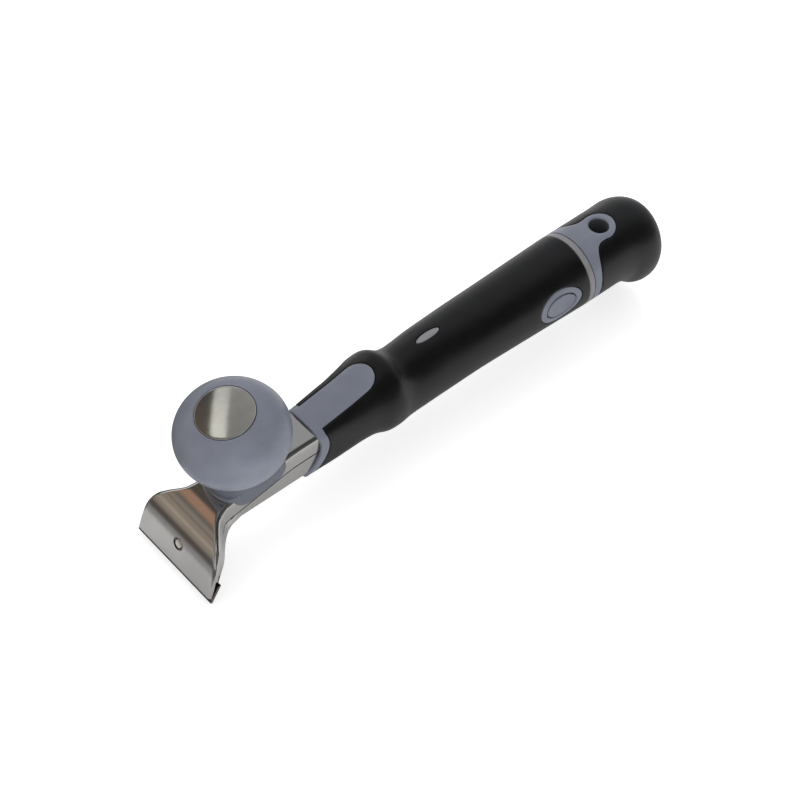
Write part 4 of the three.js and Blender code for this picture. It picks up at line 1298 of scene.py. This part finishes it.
def knob_foot():
    """A round foot with flat sides, whose skirts straddle the neck."""
    turn = np.linspace(0, 2 * PI, FOOT_TURN, endpoint=False)
    half = neck_half + GAP + FOOT_WALL
    reach = math.sqrt(FOOT_RADIUS**2 - half**2)
    c, s = np.cos(turn), np.sin(turn)

    def pressed(radius, height, inset=0.0):
        """A circle, pressed flat at the sides."""
        p = FOOT_SOFTNESS
        r = ((1 / (radius - inset)) ** p + (np.abs(s) / (half - inset)) ** p) ** (-1 / p)
        return columns(r * c, r * s, height)

    corner = np.where(c > 0, FOOT_FRONT_CORNER, FOOT_CORNER)
    past = np.clip(np.abs(pressed(FOOT_RADIUS, 0)[:, 0]) - (reach - corner), 0, corner)
    skirt = corner - np.sqrt(corner**2 - past**2) - FOOT_SKIRT
    low = np.where(past < corner, np.minimum(skirt, GAP), GAP)
    sweep = np.linspace(0, PI / 2, SWEEP_STEPS)[:-1]
    wall = zip(mix(FOOT_RADIUS, FOOT_NECK, np.sin(sweep)), mix(FOOT_RIM, foot_top, 1 - np.cos(sweep)))
    bore = STUD_RADIUS + PLAY
    rings = [
        *[pressed(FOOT_RADIUS, low + depth, inset) for inset, depth in roundover(0, FOOT_ROUND)],
        *[pressed(radius, height) for radius, height in wall],
        pressed(FOOT_NECK, foot_top - FOOT_ROUND),
        pressed(FOOT_NECK - FOOT_ROUND, foot_top),
        ring(bore, foot_top, FOOT_TURN),
        ring(bore, GAP, FOOT_TURN),
        pressed(FOOT_RADIUS, GAP, FOOT_WALL),
        pressed(FOOT_RADIUS, low, FOOT_WALL),
    ]
    return tube("knob_foot", [*rings, rings[0]], in_knob)


# Finishes


class Shading:
    """The nodes of a material or a world. An input takes a value or another node's output."""

    def __init__(self, owner):
        owner.use_nodes = True
        self.owner = owner
        self.nodes = owner.node_tree.nodes
        self.links = owner.node_tree.links

    def fill(self, socket, value):
        if isinstance(value, bpy.types.NodeSocket):
            self.links.new(value, socket)
        else:
            socket.default_value = value

    def add(self, kind, *inputs, operation=None, **named):
        """The outputs of a new node. An underscore in an input's name stands for a space."""
        node = self.nodes.new("ShaderNode" + kind)
        if operation:
            node.operation = operation
        for i, value in enumerate(inputs):
            self.fill(node.inputs[i], value)
        for name, value in named.items():
            self.fill(node.inputs[name.replace("_", " ")], value)
        return node.outputs

    def ramp(self, factor, stops):
        """Colours over the factor, from (position, colour) stops."""
        colour = self.add("ValToRGB", factor)["Color"]
        elements = colour.node.color_ramp.elements
        while len(elements) < len(stops):
            elements.new(0.5)
        for element, (position, shade) in zip(elements, stops):
            element.position = position
            element.color = (*shade, 1)
        return colour

    def range(self, factor, low, high, start=0.0, end=1.0):
        limits = {"From_Min": start, "From_Max": end, "To_Min": low, "To_Max": high}
        return self.add("MapRange", factor, **limits)["Result"]


class Finish(Shading):
    """A principled material whose values vary over the piece."""

    def __init__(self, name, **values):
        super().__init__(bpy.data.materials.new(name))
        self.shader = self.nodes["Principled BSDF"]
        self.place = self.add("TexCoord")["Object"]
        self.vary(**values)

    def vary(self, **values):
        for name, value in values.items():
            self.fill(self.shader.inputs[name.replace("_", " ")], value)

    def noise(self, scale, detail, stretch=None):
        place = self.add("Mapping", self.place, Scale=stretch)["Vector"] if stretch else self.place
        return self.add("TexNoise", Vector=place, Scale=scale, Detail=detail)["Fac"]

    def shades(self, grain, dark, light, start=0.3):
        return self.ramp(grain, [(start, dark), (1 - start, light)])

    def bump(self, height, strength, distance):
        self.vary(Normal=self.add("Bump", Height=height, Strength=strength, Distance=distance)["Normal"])

    def beyond(self, axis, distance):
        """1 where the place along the axis lies further out than the distance, on either side."""
        place = self.add("SeparateXYZ", self.place)[axis]
        size = self.add("Math", place, operation="ABSOLUTE")[0]
        return self.add("Math", size, distance, operation="GREATER_THAN")[0]

    def blend(self, share, first, second):
        node = self.add("Mix", share)[0].node
        node.data_type = "RGBA"
        for socket, colour in zip([s for s in node.inputs if s.type == "RGBA"], (first, second)):
            self.fill(socket, colour)
        return [s for s in node.outputs if s.type == "RGBA"][0]


def grey_plastic(name, dark, light):
    finish = Finish(name, IOR=1.48)
    finish.vary(Base_Color=finish.shades(finish.noise(90, 4), dark, light, start=0.35))
    finish.vary(Roughness=finish.range(finish.noise(700, 3), 0.24, 0.36))
    finish.bump(finish.noise(2600, 3), 0.12, 0.0001)
    return finish.owner


def black_grip():
    finish = Finish("soft_black", IOR=1.44)
    dark, light = (0.0015, 0.0015, 0.002), (0.003, 0.003, 0.0038)
    finish.vary(Base_Color=finish.shades(finish.noise(120, 4), dark, light, start=0.35))
    finish.vary(Roughness=finish.range(finish.noise(500, 3), 0.33, 0.42))
    finish.bump(finish.noise(2200, 4), 0.12, 0.0001)
    return finish.owner


def polished_steel():
    finish = Finish("polished_sheet", Metallic=1.0)
    finish.vary(Base_Color=finish.shades(finish.noise(60, 3), (0.50, 0.49, 0.475), (0.56, 0.55, 0.535)))
    streaks = finish.noise(900, 3, (0.05, 1, 0.05))
    finish.vary(Roughness=finish.range(streaks, 0.08, 0.15))
    finish.bump(streaks, 0.02, 0.00005)
    return finish.owner


def polished_cap():
    finish = Finish("polished_cap", Metallic=1.0)
    clouds = finish.noise(220, 4)
    finish.vary(Base_Color=finish.shades(clouds, (0.61, 0.60, 0.575), (0.67, 0.66, 0.635)))
    finish.vary(Roughness=finish.range(finish.noise(900, 2), 0.08, 0.13))
    finish.bump(clouds, 0.05, 0.00005)
    return finish.owner


def turned_steel():
    finish = Finish("turned_steel", Metallic=1.0)
    finish.vary(Base_Color=finish.shades(finish.noise(300, 3), (0.50, 0.50, 0.49), (0.62, 0.62, 0.60)))
    finish.vary(Roughness=finish.range(finish.noise(1200, 2), 0.22, 0.38))
    return finish.owner


def peened_steel():
    finish = Finish("peened_steel", Metallic=1.0)
    finish.vary(Base_Color=finish.shades(finish.noise(700, 3), (0.80, 0.78, 0.72), (0.90, 0.88, 0.81)))
    finish.vary(Roughness=finish.range(finish.noise(1500, 2), 0.25, 0.45))
    finish.bump(finish.noise(900, 2), 0.3, 0.0002)
    return finish.owner


def blade_steel():
    """Dark hard metal, whose two ends are ground bare."""
    finish = Finish("ground_blade", Metallic=0.9)
    grain = finish.noise(500, 4)
    dark = finish.shades(grain, (0.03, 0.027, 0.025), (0.06, 0.055, 0.05))
    bare = finish.shades(grain, (0.13, 0.113, 0.105), (0.20, 0.175, 0.165))
    end = MM * (BLADE_WIDTH / 2 - BLADE_EDGE)
    finish.vary(Base_Color=finish.blend(finish.beyond("Y", end), dark, bare))
    finish.vary(Roughness=finish.range(finish.noise(2000, 2, (1, 0.1, 1)), 0.3, 0.5))
    finish.bump(finish.noise(2400, 2, (1, 0.05, 1)), 0.1, 0.00005)
    return finish.owner


# Assembly


def dressed(make, finish, body, crease=CREASE, replaces=True):
    """A piece named after its function, which rides the body in place of the CAD node of that name."""
    node = make.__name__
    piece = linked(node + "_fine" if replaces else node, make())
    piece.data.materials.clear()
    piece.data.materials.append(finish)
    piece.data.shade_smooth()
    piece.data.set_sharp_from_angle(angle=math.radians(crease))
    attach(piece, body)
    if replaces:
        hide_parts(node)
    return piece


def lined(piece, finish, chosen):
    """A second finish on the faces whose middle, in the tool's frame, is chosen."""
    piece.data.materials.append(finish)
    for face in piece.data.polygons:
        if chosen((np.array(face.center) - tool_origin) / MM):
            face.material_index = 1


# Faces of the hang hole's bore, which take the darker grey of painted shade
def in_hang_hole(point):
    return math.hypot(point[0] - hang_x, point[1]) < HANG_HOLE


def on_mark(point):
    x, y, z = point
    over = math.hypot(2 * (x - MARK_AT) / MARK_LENGTH, 2 * y / MARK_WIDTH)
    return over < 1 and z > barrel.section(MARK_AT)[1] - GRIP_WALL / 2


grey = grey_plastic("grey_plastic", (0.162, 0.175, 0.216), (0.187, 0.202, 0.247))
# A darker grey for the knob's foot: painted shade, standing in for the shade under the ball
foot_painted_shade = grey_plastic("foot_painted_shade_grey", (0.096, 0.106, 0.134), (0.113, 0.124, 0.154))
pale = grey_plastic("pale_rim", (0.208, 0.203, 0.212), (0.235, 0.230, 0.239))
# A darker grey for the hang hole's bore: painted shade, standing in for the shade deep inside the hole
painted_hole_shade = grey_plastic("painted_hole_shade_grey", (0.075, 0.078, 0.082), (0.095, 0.098, 0.102))
black = black_grip()
sheet = polished_steel()
turned = turned_steel()

dressed(handle_grip, black, "handle")
lined(dressed(handle_core, grey, "handle"), pale, on_mark)
dressed(rear_rim, pale, "handle", replaces=False)
dressed(button_bezel, grey, "handle")
dressed(release_button, grey, "button")
dressed(cap_grip, black, "end_cap")
# The hang hole's bore takes the darker grey of painted shade
lined(dressed(cap_core, grey, "end_cap"), painted_hole_shade, in_hang_hole)
dressed(upper_shell, sheet, "handle")
dressed(lower_shell, sheet, "lower_jaw")
dressed(blade, blade_steel(), "blade", crease=20)
dressed(stop_pin, peened_steel(), "handle")
dressed(knob_ball, grey, "knob")
dressed(knob_cap, polished_cap(), "knob")
# The foot takes the darker grey of painted shade
dressed(knob_foot, foot_painted_shade, "handle")
plain_nodes = ["clamp_nut", "knob_stud", "thrust_washer", "jaw_pivot_pin", "tang_pin"]
for name in [*plain_nodes, "latch_plate", "latch_spring"]:
    materials = frame["nodes"][name].data.materials
    materials.clear()
    materials.append(turned)


# Stage, light and camera


def floor_material():
    """A pale floor that takes shadows, lifted to white for the camera and less so in reflections."""
    shading = Shading(bpy.data.materials.new("pale_floor"))
    shading.nodes.clear()
    path = shading.add("LightPath")
    seen = shading.add("Math", path["Is Camera Ray"], FLOOR_GLOW, operation="MULTIPLY")[0]
    glow = shading.add("Math", path["Is Glossy Ray"], FLOOR_GLOSS, seen, operation="MULTIPLY_ADD")[0]
    lit = shading.add("BsdfDiffuse", Color=FLOOR_COLOUR)[0]
    both = shading.add("AddShader", lit, shading.add("Emission", Strength=glow)[0])[0]
    shading.add("OutputMaterial", both)
    return shading.owner


def glow_material(name, stops, sideways=False, fades=False):
    """Light with colours over the height angle in degrees about the panel's Y axis, or over Y itself."""
    shading = Shading(bpy.data.materials.new(name))
    shading.nodes.clear()
    place = shading.add("TexCoord")["Object"]
    axes = shading.add("SeparateXYZ", place)
    angle = shading.add("Math", axes["Z"], axes["X"], operation="ARCTAN2")[0]
    low, high = stops[0][0], stops[-1][0]
    unit = 1 if sideways else PI / 180
    share = shading.range(axes["Y"] if sideways else angle, 0, 1, unit * low, unit * high)
    noise = shading.add("TexNoise", Vector=place, Scale=CARD_NOISE)["Fac"]
    moved = shading.add("Math", share, shading.range(noise, -CARD_SHIFT, CARD_SHIFT), operation="ADD")[0]
    colour = shading.ramp(moved, [((at - low) / (high - low), shade) for at, shade in stops])
    if fades:
        distance = shading.add("VectorMath", place, operation="LENGTH")["Value"]
        aside = shading.add("Math", axes["Y"], distance, operation="DIVIDE")[0]
        strength = shading.range(aside, 1, FADED, *FADES)
        colour = shading.add("HueSaturation", Saturation=strength, Color=colour)[0]
    shading.add("OutputMaterial", shading.add("Emission", colour)[0])
    return shading.owner


def panel(name, rows, material):
    """A flat or curved stage surface from two equal rows of corners."""
    surface = Surface()
    surface.strip(rows)
    made = linked(name, surface.mesh(name, np.asarray))
    made.data.materials.append(material)
    return made


def card(name, rows, material):
    """A panel that only shows in reflections."""
    made = panel(name, rows, material)
    made.visible_camera = False
    made.visible_diffuse = False
    made.visible_transmission = False
    made.visible_shadow = False
    return made


def floor():
    ends = (-FLOOR_SIZE / 2, FLOOR_SIZE / 2)
    panel("floor", [[(x, y, -FLOOR_DROP) for x in ends] for y in ends], floor_material())


def arched(name, angles, sides, material):
    """A card bent about a line along Y through the head, down to the floor."""
    rows = [[], []]
    for angle in np.radians(np.linspace(*angles, ARCH_STEPS)):
        c, s = math.cos(angle), math.sin(angle)
        reach = CARD_AWAY if s >= 0 else min(CARD_AWAY, CARD_LOWEST * HEAD_AT[2] / -s)
        for row, y in zip(rows, sides):
            row.append((reach * c, y, reach * s))
    card(name, rows, material).location = HEAD_AT


def plain_card(name, along, edges, colour):
    """A card of one colour along X, between two (y, z) edges."""
    rows = [[(x, *edge) for x in along] for edge in edges]
    card(name, rows, glow_material(name, [(0, colour), (180, colour)]))


def upright(name, along, y, height, colour):
    """A card that stands beside the tool."""
    plain_card(name, along, [(y, 0), (y, height)], colour)


def lying(name, along, across, colour):
    """A card that lies on the floor."""
    plain_card(name, along, [(y, FLOOR_DROP) for y in across], colour)


def seen_in_cap(across, down):
    """Where the camera's ray to a point of the knob's cap goes from there, as shares of its radius."""
    middle = in_knob(np.array([[0, 0, KNOB_HEIGHT]]))[0]
    toward = np.array(CAMERA_AT) - middle
    toward /= np.linalg.norm(toward)
    place = across * np.array(RIGHT) + down * np.array(DOWN)
    place -= np.dot(place, knob_axis) * knob_axis
    normal = knob_axis + 2 * CAP_CROWN / CAP_RADIUS * place
    normal /= np.linalg.norm(normal)
    return middle + CAP_CARD_AWAY * (2 * np.dot(normal, toward) * normal - toward)


def cap_card(name, start, end, upper, lower):
    """A card that shows in the cap from start to end across it, in shares of its radius."""
    heights = (-CAP_CARD_TALL, CAP_CARD_TALL)
    rows = [[seen_in_cap(across, down) for across in (start, end)] for down in heights]
    angles = [math.degrees(math.atan2(*np.mean(row, 0)[[2, 0]])) for row in rows]
    card(name, rows, glow_material(name, sorted(zip(angles, (upper, lower)))))


def studio_world():
    """White for rays from the camera, from gloss or through glass, and softer as light."""
    world = bpy.data.worlds.new("studio")
    bpy.context.scene.world = world
    shading = Shading(world)
    shading.nodes.clear()
    path = shading.add("LightPath")
    direct = path["Is Camera Ray"]
    for other in ("Is Glossy Ray", "Is Transmission Ray"):
        direct = shading.add("Math", direct, path[other], operation="MAXIMUM")[0]
    soft = shading.add("Background", WHITE, WORLD_LIGHT)[0]
    white = shading.add("Background", WHITE, 1.0)[0]
    shading.add("OutputWorld", shading.add("MixShader", direct, soft, white)[0])


def softbox(name, place, aim, size, power):
    lamp = bpy.data.lights.new(name, "AREA")
    lamp.shape = "DISK"
    lamp.size = size
    lamp.energy = power
    made = linked(name, lamp)
    made.location = place
    made.rotation_euler = (Vector(aim) - Vector(place)).to_track_quat("-Z", "Y").to_euler()
    made.visible_glossy = False
    made.visible_camera = False


def photo_camera():
    """The camera that was fitted to the photograph, with its axes squared."""
    left, _, right = np.linalg.svd(np.array([RIGHT, [-d for d in DOWN], TOWARD]))
    lens = bpy.data.cameras.new("camera")
    lens.lens = LENS
    lens.sensor_width = SENSOR
    made = linked("camera", lens)
    made.matrix_world = Matrix.Translation(CAMERA_AT) @ Matrix((left @ right).T.tolist()).to_4x4()
    bpy.context.scene.camera = made


floor()
front_angles = (FRONT_STOPS[0][0], FRONT_STOPS[-1][0])
front_glow = glow_material("in_front", FRONT_STOPS, fades=True)
arched("in_front", front_angles, (-CARD_SIDE, FRONT_SIDE), front_glow)
arched("overhead", (90, 180), (-CARD_SIDE, CARD_SIDE), glow_material("overhead", TOP_STOPS, sideways=True))
upright("left_wall", WALL_ALONG, -CARD_SIDE, 0.2, SHADE)
upright("right_wall", WALL_ALONG, CARD_SIDE, 1.0, SHADE)
upright("beside_cap", (-0.6, -0.18), 0.35, 0.1, PALE)
lying("right_floor", (-0.6, -0.12), (0.06, 0.35), PALE)
lying("left_floor", (0.0, 0.3), (-0.6, -0.04), SHADE)
cap_card("cap_brown", -1.7, -0.5, upper=(0.07, 0.062, 0.058), lower=(0.125, 0.105, 0.08))
cap_card("cap_window", -0.5, 0.16, upper=(0.62, 0.62, 0.59), lower=(0.95, 0.95, 0.88))
cap_card("cap_grey", 0.16, 1.7, upper=(0.35, 0.35, 0.335), lower=(0.275, 0.272, 0.265))
studio_world()
centre = (cad_box[0] + cad_box[1]) / 2
softbox("top_light", (-0.4, -0.5, 1.0), aim=centre, size=0.8, power=4)
softbox("front_light", (0.8, 1.1, 0.12), aim=centre, size=0.6, power=4)
softbox("bounce", (0.24, 0.24, 0.002), aim=(0.24, 0.24, 1.0), size=0.3, power=0.8)
photo_camera()
bpy.context.scene.view_settings.view_transform = "Standard"
